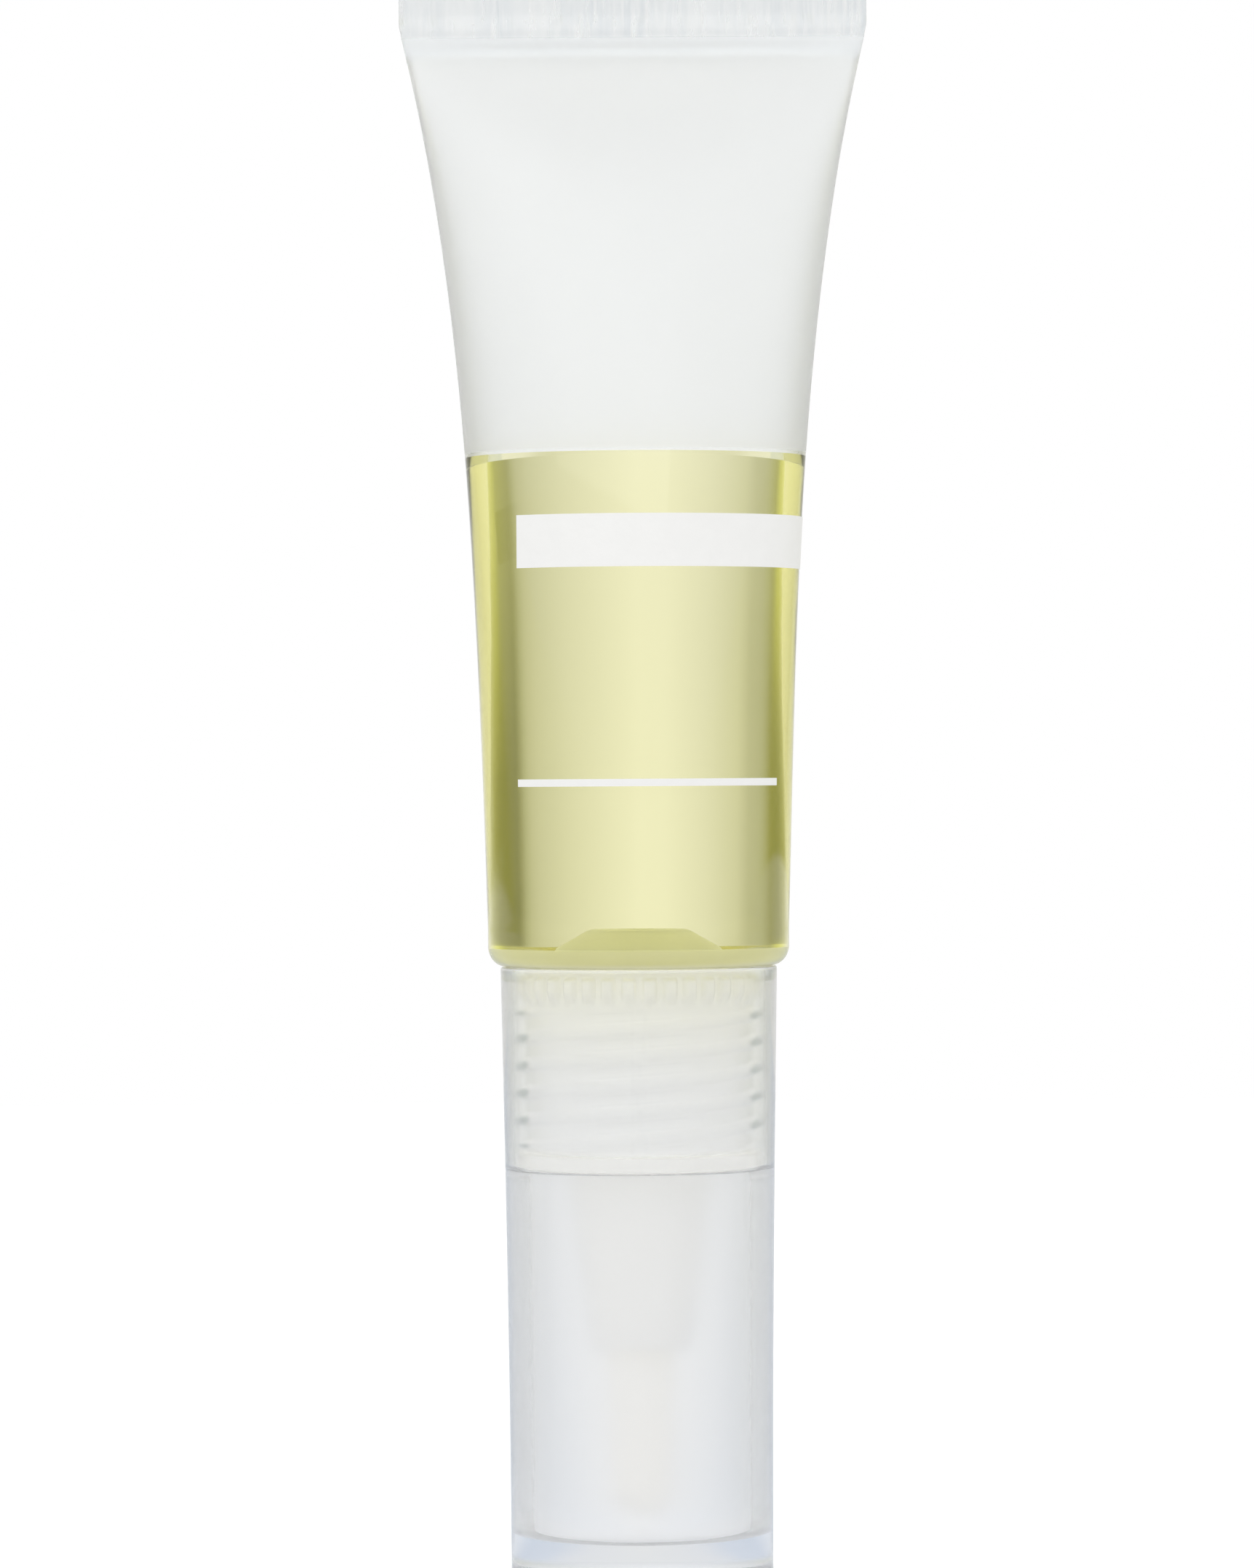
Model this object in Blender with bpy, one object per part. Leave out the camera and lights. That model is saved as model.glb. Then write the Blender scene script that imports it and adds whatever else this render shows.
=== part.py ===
"""Clear squeeze tube of cuticle oil with a brush, standing on its long screw cap.

Lengths are in metres. +Z is up, the flat crimp runs along X and the front faces -Y.
The cap's closed end stands on the floor at Z = 0 and the tube's crimp is at the top.
Heights are stacked: the cap carries the shoulder, which carries the sleeve.
"""

import math

import bmesh
import bpy

for old_object in list(bpy.data.objects):
    bpy.data.objects.remove(old_object, do_unlink=True)

# Clearances
FIT_GAP = 0.0003                # between pieces that touch on the real tube
BRUSH_TIP_CLEARANCE = 0.00095   # from the tuft's tip to the cap's floor
COLLAR_CLEARANCE = 0.00035      # from the collar's ribs to the cap's bore
THREAD_ROOM = 0.00075           # between the neck and the cap's bore, where the threads mesh

# Tube sleeve: a drawn sleeve whose upper end is pressed flat
TUBE_DIAMETER = 0.0190
SLEEVE_WALL = 0.0005
SLEEVE_LENGTH = 0.0561          # from the weld at the shoulder to the foot of the crimp
CRIMP_HEIGHT = 0.0052
CRIMP_THICKNESS = 0.0010
CRIMP_SPREAD = 0.00016          # how far the press widens the crimp on each side
CRIMP_SPREAD_RISE = 0.0010      # height over which the crimp widens
SEAL_DROP = 0.0009              # the inner seal line lies this far below the crimp's foot
VOID_TIP = 0.0003               # depth of the inside where it ends at the seal line

# Outline of the flaring sleeve, as shares of the full spread from round to flat
STEADY_FLARE_SHARE = 0.30
TOP_FLARE_SHARE = 0.64
TOP_FLARE_POWER = 3.4
CLOSING_POWER = 24
CRIMP_SQUARENESS = 5.0
SQUARING_POWER = 16

# Tube head: shoulder, weld skirt, ribbed collar and neck
SHOULDER_THICKNESS = 0.0011
CORNER_HEIGHT = 0.0021
CORNER_REACH = 0.0009
SKIRT_WALL = 0.0005
SKIRT_OVERLAP = 0.0012          # how far the skirt stands up inside the sleeve
NECK_LENGTH = 0.0117
NECK_WALL = 0.0013
NECK_END_CHAMFER = 0.0003
COLLAR_HEIGHT = 0.0020
COLLAR_DROP = 0.0006            # from the shoulder's underside to the top of the ribs
COLLAR_RIB_COUNT = 36
RIB_CREST_SHARE = 0.30
RIB_FLANK_SHARE = 0.20

# Cap: turned shell, thin at the thread and thicker below the ledge
CAP_HEIGHT = 0.0385
CAP_STEP_IN = 0.00078           # how far the cap's rim lies inside the sleeve's outer face
CAP_RIM_WALL = 0.00077
CAP_TAPER = 0.00047             # how much narrower the cap's radius is at its base
CAP_TAPER_POWER = 1.6
CAP_WALL = 0.0014
CAP_FLOOR = 0.0030
CAP_DRAFT = 0.0001
CAP_BASE_ROUND = 0.0007
CAP_RIM_ROUND = 0.00018
CAP_FLOOR_FILLET = 0.0012
GATE_RADIUS = 0.0008
GATE_DEPTH = 0.00025

# Brush holder: stem in the neck's bore and tapered nozzle below it
STEM_WALL = 0.0010
NOZZLE_LENGTH = 0.0123          # below the neck's end
NOZZLE_STEP = 0.00085           # from the stem's face in to the nozzle's root
NOZZLE_TIP_WALL = 0.00055
NOZZLE_TIP_ROUND = 0.0002
NOZZLE_STEP_RISE = 0.0004
FUNNEL_DEPTH = 0.0030
TUFT_SEAT_DEPTH = 0.0080        # from the nozzle's tip up to the tuft's root

# Flow reducer: disc with a low cone above and a spigot below
REDUCER_DISC = 0.0007
CONE_HEIGHT = 0.0012
CONE_RUN = 0.00205
ORIFICE_RADIUS = 0.00075
SPIGOT_LENGTH = 0.0020

# Brush tuft and the feed tube through its root
TUFT_DIAMETER = 0.0046
TUFT_BACKING = 0.0010
TUFT_DOME = 0.0011
TUFT_TIP_SHARE = 0.93
TUFT_CELLS = 20                 # cells along each side of the square that is mapped to the disc
TUFT_CORE_CELLS = 6             # cells along each side of the hole in the middle
STRAND_INSET_SHARE = 0.17       # of a cell's width, on each side of a strand
FEED_RADIUS = 0.00040
FEED_BORE_RADIUS = 0.00020
FEED_ABOVE = 0.0009             # above the tuft's root
FEED_BELOW = 0.0040             # below the tuft's backing
FEED_FLANGE = 0.0004
FEED_FLANGE_REACH = 0.0007

# Washer and oil
WASHER_THICKNESS = 0.0005
OIL_DEPTH = 0.0310              # from the shoulder's inner floor to the oil's surface

# Facets
ROUND_SEGMENTS = 48
SMALL_SEGMENTS = 32
FEED_SEGMENTS = 16
SLEEVE_RINGS = 14
OIL_RINGS = 7
ARC_STEPS = 5
TAPER_STEPS = 6
MERGE_DISTANCE = 0.000001
SHARP_ANGLE = math.radians(35)

# Radii, from the sleeve inwards
tube_radius = TUBE_DIAMETER / 2
cap_rim_radius = tube_radius - CAP_STEP_IN
thread_bore_radius = cap_rim_radius - CAP_RIM_WALL
collar_radius = thread_bore_radius - COLLAR_CLEARANCE
neck_radius = thread_bore_radius - THREAD_ROOM
neck_bore_radius = neck_radius - NECK_WALL
stem_radius = neck_bore_radius - FIT_GAP
stem_bore_radius = stem_radius - STEM_WALL
nozzle_root_radius = stem_radius - NOZZLE_STEP
tuft_radius = TUFT_DIAMETER / 2
tuft_bore_radius = tuft_radius + FIT_GAP
nozzle_tip_radius = tuft_bore_radius + NOZZLE_TIP_WALL
cap_base_radius = cap_rim_radius - CAP_TAPER
cap_low_bore_radius = cap_base_radius - CAP_WALL
cap_ledge_bore_radius = cap_low_bore_radius + CAP_DRAFT
skirt_radius = tube_radius - SLEEVE_WALL - FIT_GAP
skirt_bore_radius = skirt_radius - SKIRT_WALL

# Heights, from the floor up
shoulder_z = CAP_HEIGHT + FIT_GAP
inner_floor_z = shoulder_z + SHOULDER_THICKNESS
shoulder_rim_z = shoulder_z + CORNER_HEIGHT
sleeve_z = shoulder_rim_z + FIT_GAP
crimp_foot_z = sleeve_z + SLEEVE_LENGTH
seal_z = crimp_foot_z - SEAL_DROP
top_z = crimp_foot_z + CRIMP_HEIGHT
neck_end_z = shoulder_z - NECK_LENGTH
washer_z = neck_end_z - FIT_GAP - WASHER_THICKNESS
ledge_z = washer_z - FIT_GAP
nozzle_tip_z = neck_end_z - NOZZLE_LENGTH
tuft_root_z = nozzle_tip_z + TUFT_SEAT_DEPTH
tuft_tip_z = CAP_FLOOR + BRUSH_TIP_CLEARANCE
stem_top_z = inner_floor_z - REDUCER_DISC - FIT_GAP
oil_top_z = inner_floor_z + OIL_DEPTH


def material(name, colour, roughness, alpha=1.0, ior=1.5):
    """Principled material with the piece's colour and finish."""
    made = bpy.data.materials.new(name)
    made.use_nodes = True
    shader = made.node_tree.nodes["Principled BSDF"]
    shader.inputs["Base Color"].default_value = (*colour, 1.0)
    shader.inputs["Roughness"].default_value = roughness
    shader.inputs["Metallic"].default_value = 0.0
    shader.inputs["IOR"].default_value = ior
    shader.inputs["Alpha"].default_value = alpha
    made.diffuse_color = (*colour, alpha)
    return made


def empty(name, parent=None):
    """Empty on the tube's axis that carries a group of pieces."""
    made = bpy.data.objects.new(name, None)
    bpy.context.collection.objects.link(made)
    made.parent = parent
    return made


def place(name, shape, finish, parent, height):
    """Turns a bmesh into a named object whose origin is on the tube's axis at a height."""
    bmesh.ops.recalc_face_normals(shape, faces=shape.faces)
    mesh = bpy.data.meshes.new(name)
    shape.to_mesh(mesh)
    shape.free()
    mesh.materials.append(finish)
    mesh.shade_smooth()
    mesh.set_sharp_from_angle(angle=SHARP_ANGLE)
    made = bpy.data.objects.new(name, mesh)
    bpy.context.collection.objects.link(made)
    made.parent = parent
    made.location.z = height
    return made


def arc(centre_r, centre_z, reach_r, reach_z, start_deg, end_deg, steps=ARC_STEPS):
    """Points of an elliptical arc in the radius-height plane, both ends included."""
    points = []
    for step in range(steps + 1):
        angle = math.radians(start_deg + (end_deg - start_deg) * step / steps)
        points.append((centre_r + reach_r * math.cos(angle), centre_z + reach_z * math.sin(angle)))
    return points


def turned_shape(outline, segments):
    """Spins an outline of (radius, height) points round Z; one that starts on the axis is left open."""
    shape = bmesh.new()
    points = [shape.verts.new((radius, 0, height)) for radius, height in outline]
    edges = [shape.edges.new(pair) for pair in zip(points, points[1:])]
    if outline[0][0] > 0:
        edges.append(shape.edges.new((points[-1], points[0])))
    bmesh.ops.spin(shape, geom=points + edges, cent=(0, 0, 0), axis=(0, 0, 1), dvec=(0, 0, 0),
                   angle=math.tau, steps=segments, use_merge=True)
    bmesh.ops.remove_doubles(shape, verts=shape.verts, dist=MERGE_DISTANCE)
    return shape


def turned(name, outline, finish, parent, seat_z, segments=ROUND_SEGMENTS):
    """Turned piece from an outline in world heights, with its origin at its seat."""
    local = [(radius, height - seat_z) for radius, height in outline]
    return place(name, turned_shape(local, segments), finish, parent, seat_z)


def ellipse_girth(half_width, half_depth):
    """Length round an ellipse, by Ramanujan's formula."""
    return math.pi * (3 * (half_width + half_depth)
                      - math.sqrt((3 * half_width + half_depth) * (half_width + 3 * half_depth)))


def depth_for_girth(half_width):
    """Half depth that keeps the sleeve's girth when the press has spread it to this half width."""
    girth = math.tau * tube_radius
    low, high = 0.0, half_width
    for _ in range(40):
        middle = (low + high) / 2
        if ellipse_girth(half_width, middle) < girth:
            low = middle
        else:
            high = middle
    return (low + high) / 2


def sleeve_half_size(height):
    """Half width and half depth of the sleeve's outer face at a height."""
    rise = min(max((height - sleeve_z) / SLEEVE_LENGTH, 0.0), 1.0)
    spread = STEADY_FLARE_SHARE * rise + TOP_FLARE_SHARE * rise ** TOP_FLARE_POWER
    half_width = tube_radius * (1 + (math.pi / 2 - 1) * spread)
    open_depth = depth_for_girth(half_width)
    half_crimp = CRIMP_THICKNESS / 2
    half_depth = half_crimp + (open_depth - half_crimp) * (1 - rise ** CLOSING_POWER)
    return half_width, half_depth


def sleeve_half_inside(height):
    """Half width and half depth of the sleeve's inside, which narrows to the seal line."""
    half_width, half_depth = sleeve_half_size(height)
    rise = min((height - sleeve_z) / (seal_z - sleeve_z), 1.0)
    half_tip = VOID_TIP / 2
    open_depth = max(half_depth - SLEEVE_WALL, half_tip)
    return half_width - SLEEVE_WALL, half_tip + (open_depth - half_tip) * (1 - rise ** CLOSING_POWER)


def section_squareness(height):
    """2 gives an ellipse, which the sleeve keeps until just below its crimp."""
    rise = min(max((height - sleeve_z) / SLEEVE_LENGTH, 0.0), 1.0)
    return 2 + (CRIMP_SQUARENESS - 2) * rise ** SQUARING_POWER


def section_ring(shape, half_width, half_depth, squareness, height):
    """Ring of vertices round one cross-section, starting at +X."""
    ring = []
    for index in range(ROUND_SEGMENTS):
        angle = math.tau * index / ROUND_SEGMENTS
        across = math.cos(angle)
        reach = max(1 - abs(across) ** squareness, 0.0) ** (1 / squareness)
        depth = math.copysign(half_depth * reach, math.sin(angle))
        if index % (ROUND_SEGMENTS // 2) == 0:
            depth = 0.0
        ring.append(shape.verts.new((half_width * across, depth, height)))
    return ring


def bridge(shape, lower, upper):
    """Faces between two rings of equal count."""
    count = len(lower)
    for index in range(count):
        after = (index + 1) % count
        shape.faces.new((lower[index], lower[after], upper[after], upper[index]))


def close_across(shape, ring):
    """Closes a ring with strips that run from its front to its back."""
    half = len(ring) // 2
    shape.faces.new((ring[0], ring[1], ring[-1]))
    shape.faces.new((ring[half - 1], ring[half], ring[half + 1]))
    for index in range(1, half - 1):
        shape.faces.new((ring[index], ring[index + 1], ring[-index - 1], ring[-index]))


def climbing(start, end, count):
    """Heights from start to end, closer together towards the end."""
    return [start + (end - start) * (1 - (1 - step / count) ** 1.6) for step in range(count + 1)]


def make_sleeve(finish, parent):
    """Drawn sleeve: round at the shoulder, flat at the crimp, open below and hollow to the seal line."""
    shape = bmesh.new()
    outer = []
    for height in climbing(sleeve_z, crimp_foot_z, SLEEVE_RINGS):
        half_width, half_depth = sleeve_half_size(height)
        outer.append(section_ring(shape, half_width, half_depth, section_squareness(height),
                                  height - sleeve_z))
    foot_width, foot_depth = sleeve_half_size(crimp_foot_z)
    for height in (crimp_foot_z + CRIMP_SPREAD_RISE, top_z):
        outer.append(section_ring(shape, foot_width + CRIMP_SPREAD, foot_depth, CRIMP_SQUARENESS,
                                  height - sleeve_z))
    inner = []
    for height in climbing(sleeve_z, seal_z, SLEEVE_RINGS):
        half_width, half_depth = sleeve_half_inside(height)
        inner.append(section_ring(shape, half_width, half_depth, section_squareness(height),
                                  height - sleeve_z))
    for rings in (outer, inner):
        for lower, upper in zip(rings, rings[1:]):
            bridge(shape, lower, upper)
        close_across(shape, rings[-1])
    bridge(shape, outer[0], inner[0])
    return place("tube_sleeve", shape, finish, parent, sleeve_z)


def make_oil(finish, parent):
    """Oil that fills the sleeve from the shoulder's floor, clear of the skirt and the cone."""
    cone_base = stem_radius + FIT_GAP
    cone_top = max(stem_radius - CONE_RUN, ORIFICE_RADIUS) + FIT_GAP
    base_z = inner_floor_z + FIT_GAP
    step_z = sleeve_z + SKIRT_OVERLAP + FIT_GAP
    pit_z = inner_floor_z + CONE_HEIGHT + FIT_GAP
    base_radius = skirt_bore_radius - FIT_GAP
    shape = bmesh.new()

    def level(half_width, half_depth, height):
        return section_ring(shape, half_width, half_depth, 2, height - base_z)

    rings = [level(cone_top, cone_top, pit_z), level(cone_base, cone_base, base_z),
             level(base_radius, base_radius, base_z), level(base_radius, base_radius, step_z)]
    for step in range(OIL_RINGS + 1):
        height = step_z + (oil_top_z - step_z) * step / OIL_RINGS
        half_width, half_depth = sleeve_half_inside(height)
        rings.append(level(half_width - FIT_GAP, half_depth - FIT_GAP, height))
    for lower, upper in zip(rings, rings[1:]):
        bridge(shape, lower, upper)
    close_across(shape, rings[0])
    close_across(shape, rings[-1])
    return place("oil", shape, finish, parent, base_z)


def collar_shape(bottom_z, top_of_ribs_z, buried_radius):
    """Ring of upright ribs, with its bore buried in the neck's wall."""
    shape = bmesh.new()
    rim = []
    for rib in range(COLLAR_RIB_COUNT):
        for share, radius in ((0, neck_radius), (RIB_FLANK_SHARE, collar_radius),
                              (RIB_FLANK_SHARE + RIB_CREST_SHARE, collar_radius),
                              (2 * RIB_FLANK_SHARE + RIB_CREST_SHARE, neck_radius)):
            angle = math.tau * (rib + share) / COLLAR_RIB_COUNT
            rim.append((math.cos(angle), math.sin(angle), radius))
    loops = []
    for height, buried in ((bottom_z, False), (top_of_ribs_z, False), (top_of_ribs_z, True), (bottom_z, True)):
        loops.append([shape.verts.new((x * (buried_radius if buried else radius),
                                       y * (buried_radius if buried else radius), height))
                      for x, y, radius in rim])
    for index, loop in enumerate(loops):
        bridge(shape, loop, loops[(index + 1) % len(loops)])
    return shape


def make_head(finish, parent):
    """Shoulder, weld skirt and neck turned as one, with the ribbed collar joined on."""
    corner_centre_r = tube_radius - CORNER_REACH
    skirt_top_z = sleeve_z + SKIRT_OVERLAP
    outline = [(neck_bore_radius, neck_end_z),
               (neck_radius - NECK_END_CHAMFER, neck_end_z),
               (neck_radius, neck_end_z + NECK_END_CHAMFER),
               (neck_radius, shoulder_z)]
    outline += arc(corner_centre_r, shoulder_rim_z, CORNER_REACH, CORNER_HEIGHT, -90, 0, 2 * ARC_STEPS)
    outline += [(skirt_radius, shoulder_rim_z), (skirt_radius, skirt_top_z),
                (skirt_bore_radius, skirt_top_z), (skirt_bore_radius, inner_floor_z),
                (neck_bore_radius, inner_floor_z)]
    head = turned("tube_head", outline, finish, parent, shoulder_z)

    ribs_top_z = shoulder_z - COLLAR_DROP
    ring = collar_shape(ribs_top_z - COLLAR_HEIGHT - shoulder_z, ribs_top_z - shoulder_z,
                        neck_radius - NECK_WALL / 2)
    cutter = place("collar_guide", ring, finish, parent, shoulder_z)
    cutter.hide_render = True
    cutter.display_type = "WIRE"
    joined = head.modifiers.new("collar", "BOOLEAN")
    joined.operation = "UNION"
    joined.solver = "EXACT"
    joined.object = cutter
    return head


def make_holder(finish, parent):
    """Stem that sits in the neck's bore, with a funnel inside and the tapered nozzle below."""
    root_z = neck_end_z + NOZZLE_STEP_RISE
    funnel_top_z = root_z + NOZZLE_STEP_RISE
    tuft_top_z = tuft_root_z + TUFT_BACKING + FIT_GAP
    funnel_foot_z = max(funnel_top_z - FUNNEL_DEPTH, tuft_top_z)
    outline = [(tuft_bore_radius, nozzle_tip_z)]
    outline += arc(nozzle_tip_radius - NOZZLE_TIP_ROUND, nozzle_tip_z + NOZZLE_TIP_ROUND,
                   NOZZLE_TIP_ROUND, NOZZLE_TIP_ROUND, -90, 0, 2)
    outline += [(nozzle_root_radius, root_z - NOZZLE_STEP_RISE), (nozzle_root_radius, root_z),
                (stem_radius, root_z + NOZZLE_STEP), (stem_radius, stem_top_z),
                (stem_bore_radius, stem_top_z), (stem_bore_radius, funnel_top_z + NOZZLE_STEP),
                (tuft_bore_radius, funnel_foot_z)]
    return turned("brush_holder", outline, finish, parent, neck_end_z, SMALL_SEGMENTS)


def make_reducer(finish, parent):
    """Disc on the stem with a low cone above it, a spigot below and a fine orifice."""
    cone_top_radius = max(stem_radius - CONE_RUN, 2 * ORIFICE_RADIUS)
    disc_z = inner_floor_z - REDUCER_DISC
    spigot_radius = stem_bore_radius - FIT_GAP
    outline = [(ORIFICE_RADIUS, disc_z - SPIGOT_LENGTH), (spigot_radius, disc_z - SPIGOT_LENGTH),
               (spigot_radius, disc_z), (stem_radius, disc_z), (stem_radius, inner_floor_z),
               (cone_top_radius, inner_floor_z + CONE_HEIGHT),
               (ORIFICE_RADIUS, inner_floor_z + CONE_HEIGHT)]
    return turned("flow_reducer", outline, finish, parent, disc_z, SMALL_SEGMENTS)


def make_feed_tube(finish, parent):
    """Fine tube through the tuft's root, with a flange that lies on the backing."""
    flange_z = tuft_root_z + TUFT_BACKING + FIT_GAP
    top = flange_z + FEED_ABOVE
    bottom = tuft_root_z - FEED_BELOW
    outline = [(FEED_BORE_RADIUS, bottom), (FEED_RADIUS, bottom), (FEED_RADIUS, flange_z),
               (FEED_RADIUS + FEED_FLANGE_REACH, flange_z),
               (FEED_RADIUS + FEED_FLANGE_REACH, flange_z + FEED_FLANGE),
               (FEED_RADIUS, flange_z + FEED_FLANGE), (FEED_RADIUS, top), (FEED_BORE_RADIUS, top)]
    return turned("feed_tube", outline, finish, parent, flange_z, FEED_SEGMENTS)


def make_washer(finish, parent):
    """Flat ring between the neck's end and the cap's ledge."""
    inner = nozzle_root_radius + FIT_GAP
    outer = thread_bore_radius - FIT_GAP
    outline = [(inner, washer_z), (outer, washer_z), (outer, washer_z + WASHER_THICKNESS),
               (inner, washer_z + WASHER_THICKNESS)]
    return turned("sealing_washer", outline, finish, parent, washer_z)


def disc_point(u, v, radius):
    """Takes a point of the square from -1 to 1 to the disc, so that square rings become round ones."""
    if u == 0 and v == 0:
        return 0.0, 0.0
    if abs(u) > abs(v):
        reach, angle = u, math.pi / 4 * v / u
    else:
        reach, angle = v, math.pi / 2 - math.pi / 4 * u / v
    return radius * reach * math.cos(angle), radius * reach * math.sin(angle)


def make_tuft(finish, parent):
    """Brush tuft: a backing disc whose cells are drawn out into strands that never cross."""
    shape = bmesh.new()
    side = range(TUFT_CELLS + 1)
    grid = [[shape.verts.new((*disc_point(2 * column / TUFT_CELLS - 1, 2 * row / TUFT_CELLS - 1,
                                          tuft_radius), 0)) for column in side] for row in side]
    core = range((TUFT_CELLS - TUFT_CORE_CELLS) // 2, (TUFT_CELLS + TUFT_CORE_CELLS) // 2)
    cells = []
    for row in range(TUFT_CELLS):
        for column in range(TUFT_CELLS):
            if row in core and column in core:
                continue
            cells.append(shape.faces.new((grid[row][column], grid[row + 1][column],
                                          grid[row + 1][column + 1], grid[row][column + 1])))
    bmesh.ops.delete(shape, geom=[vert for vert in shape.verts if not vert.link_faces], context="VERTS")
    raised = bmesh.ops.extrude_face_region(shape, geom=cells)["geom"]
    bmesh.ops.translate(shape, verts=[item for item in raised if isinstance(item, bmesh.types.BMVert)],
                        vec=(0, 0, TUFT_BACKING))
    cells = [face for face in shape.faces if all(vert.co.z == 0 for vert in face.verts)]

    cell_width = TUFT_DIAMETER / TUFT_CELLS
    bmesh.ops.inset_individual(shape, faces=cells, thickness=STRAND_INSET_SHARE * cell_width)
    drawn = bmesh.ops.extrude_discrete_faces(shape, faces=cells)["faces"]
    length = tuft_root_z - tuft_tip_z
    for face in drawn:
        for vert in face.verts:
            edge_share = math.hypot(vert.co.x, vert.co.y) / tuft_radius
            vert.co.x *= TUFT_TIP_SHARE
            vert.co.y *= TUFT_TIP_SHARE
            vert.co.z = TUFT_DOME * edge_share ** 2 - length
    return place("bristles", shape, finish, parent, tuft_root_z)


def cap_side_radius(height):
    """Outer radius of the cap, which narrows gently towards its base."""
    return cap_base_radius + CAP_TAPER * (height / CAP_HEIGHT) ** CAP_TAPER_POWER


def make_cap(finish, parent):
    """Turned cap: dimpled base, tapered side, plain thread bore, ledge and round-bottomed bore."""
    outline = [(0, GATE_DEPTH), (GATE_RADIUS, GATE_DEPTH), (GATE_RADIUS + GATE_DEPTH, 0)]
    outline += arc(cap_base_radius - CAP_BASE_ROUND, CAP_BASE_ROUND, CAP_BASE_ROUND, CAP_BASE_ROUND, -90, 0)
    low_z, high_z = CAP_BASE_ROUND, CAP_HEIGHT - CAP_RIM_ROUND
    for step in range(1, TAPER_STEPS):
        height = low_z + (high_z - low_z) * step / TAPER_STEPS
        outline.append((cap_side_radius(height), height))
    rim_centre_r = cap_side_radius(high_z) - CAP_RIM_ROUND
    outline += arc(rim_centre_r, high_z, CAP_RIM_ROUND, CAP_RIM_ROUND, 0, 90, 2)
    outline += arc(thread_bore_radius + CAP_RIM_ROUND, high_z, CAP_RIM_ROUND, CAP_RIM_ROUND, 90, 180, 2)
    outline += [(thread_bore_radius, ledge_z), (cap_ledge_bore_radius, ledge_z)]
    outline += arc(cap_low_bore_radius - CAP_FLOOR_FILLET, CAP_FLOOR + CAP_FLOOR_FILLET,
                   CAP_FLOOR_FILLET, CAP_FLOOR_FILLET, 0, -90)
    outline.append((0, CAP_FLOOR))
    return turned("cap", outline, finish, parent, 0)


clear_plastic = (0.86, 0.88, 0.87)
sleeve_finish = material("clear_sleeve", clear_plastic, 0.08, alpha=0.25, ior=1.50)
head_finish = material("clear_head", clear_plastic, 0.12, alpha=0.40, ior=1.50)
cap_finish = material("clear_cap", (0.80, 0.82, 0.84), 0.06, alpha=0.30, ior=1.49)
holder_finish = material("frosted_holder", (0.84, 0.85, 0.83), 0.30, alpha=0.60, ior=1.50)
washer_finish = material("washer_plastic", (0.85, 0.85, 0.82), 0.45)
feed_finish = material("feed_plastic", (0.88, 0.88, 0.86), 0.35)
bristle_finish = material("nylon_bristle", (0.83, 0.83, 0.78), 0.40)
oil_finish = material("oil", (0.80, 0.76, 0.42), 0.02, alpha=0.55, ior=1.46)

cap_group = empty("cap_group")
lift_group = empty("lift_group", cap_group)
turn_group = empty("turn_group", lift_group)

make_cap(cap_finish, cap_group)
make_washer(washer_finish, lift_group)
make_head(head_finish, turn_group)
make_sleeve(sleeve_finish, turn_group)
make_oil(oil_finish, turn_group)
make_holder(holder_finish, turn_group)
make_reducer(holder_finish, turn_group)
make_feed_tube(feed_finish, turn_group)
make_tuft(bristle_finish, turn_group)
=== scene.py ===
import math
import random

import bpy
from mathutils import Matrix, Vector, noise


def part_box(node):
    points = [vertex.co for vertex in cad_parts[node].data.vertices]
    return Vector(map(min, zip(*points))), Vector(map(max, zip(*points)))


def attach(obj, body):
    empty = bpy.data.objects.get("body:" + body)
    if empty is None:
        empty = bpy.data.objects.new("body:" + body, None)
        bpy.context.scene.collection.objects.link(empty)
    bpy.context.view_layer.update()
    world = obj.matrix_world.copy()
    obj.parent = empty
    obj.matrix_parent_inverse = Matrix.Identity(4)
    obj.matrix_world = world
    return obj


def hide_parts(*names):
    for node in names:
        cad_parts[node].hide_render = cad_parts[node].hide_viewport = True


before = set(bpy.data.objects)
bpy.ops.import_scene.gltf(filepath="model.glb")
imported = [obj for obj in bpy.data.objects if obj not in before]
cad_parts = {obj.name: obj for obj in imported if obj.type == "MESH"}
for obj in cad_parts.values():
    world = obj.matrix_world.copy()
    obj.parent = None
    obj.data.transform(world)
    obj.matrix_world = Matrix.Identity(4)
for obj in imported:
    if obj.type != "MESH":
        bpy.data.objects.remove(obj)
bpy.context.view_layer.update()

scene = bpy.context.scene
scene.view_settings.view_transform = "Standard"
# Light crosses many clear walls here, and each hair of the brush
scene.cycles.max_bounces = 32
scene.cycles.diffuse_bounces = 16
scene.cycles.transmission_bounces = 32
scene.cycles.transparent_max_bounces = 128

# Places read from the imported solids
_, cap_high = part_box("cap")
head_low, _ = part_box("tube_head")
sleeve_low, sleeve_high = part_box("tube_sleeve")
holder_low, holder_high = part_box("brush_holder")
reducer_low, reducer_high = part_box("flow_reducer")
washer_low, washer_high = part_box("sealing_washer")
tuft_low, tuft_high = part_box("bristles")
feed_low, feed_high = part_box("feed_tube")
oil_low, oil_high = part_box("oil")

FIT_GAP = 0.0003
TUBE_RADIUS = sleeve_high.y
NECK_END = head_low.z
SHOULDER = cap_high.z + FIT_GAP
SHOULDER_RIM = sleeve_low.z - FIT_GAP
WETTED_FROM = SHOULDER_RIM + 0.0006
INNER_FLOOR = oil_low.z - FIT_GAP
CRIMP_TOP = sleeve_high.z
OIL_LEVEL = oil_high.z

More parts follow.
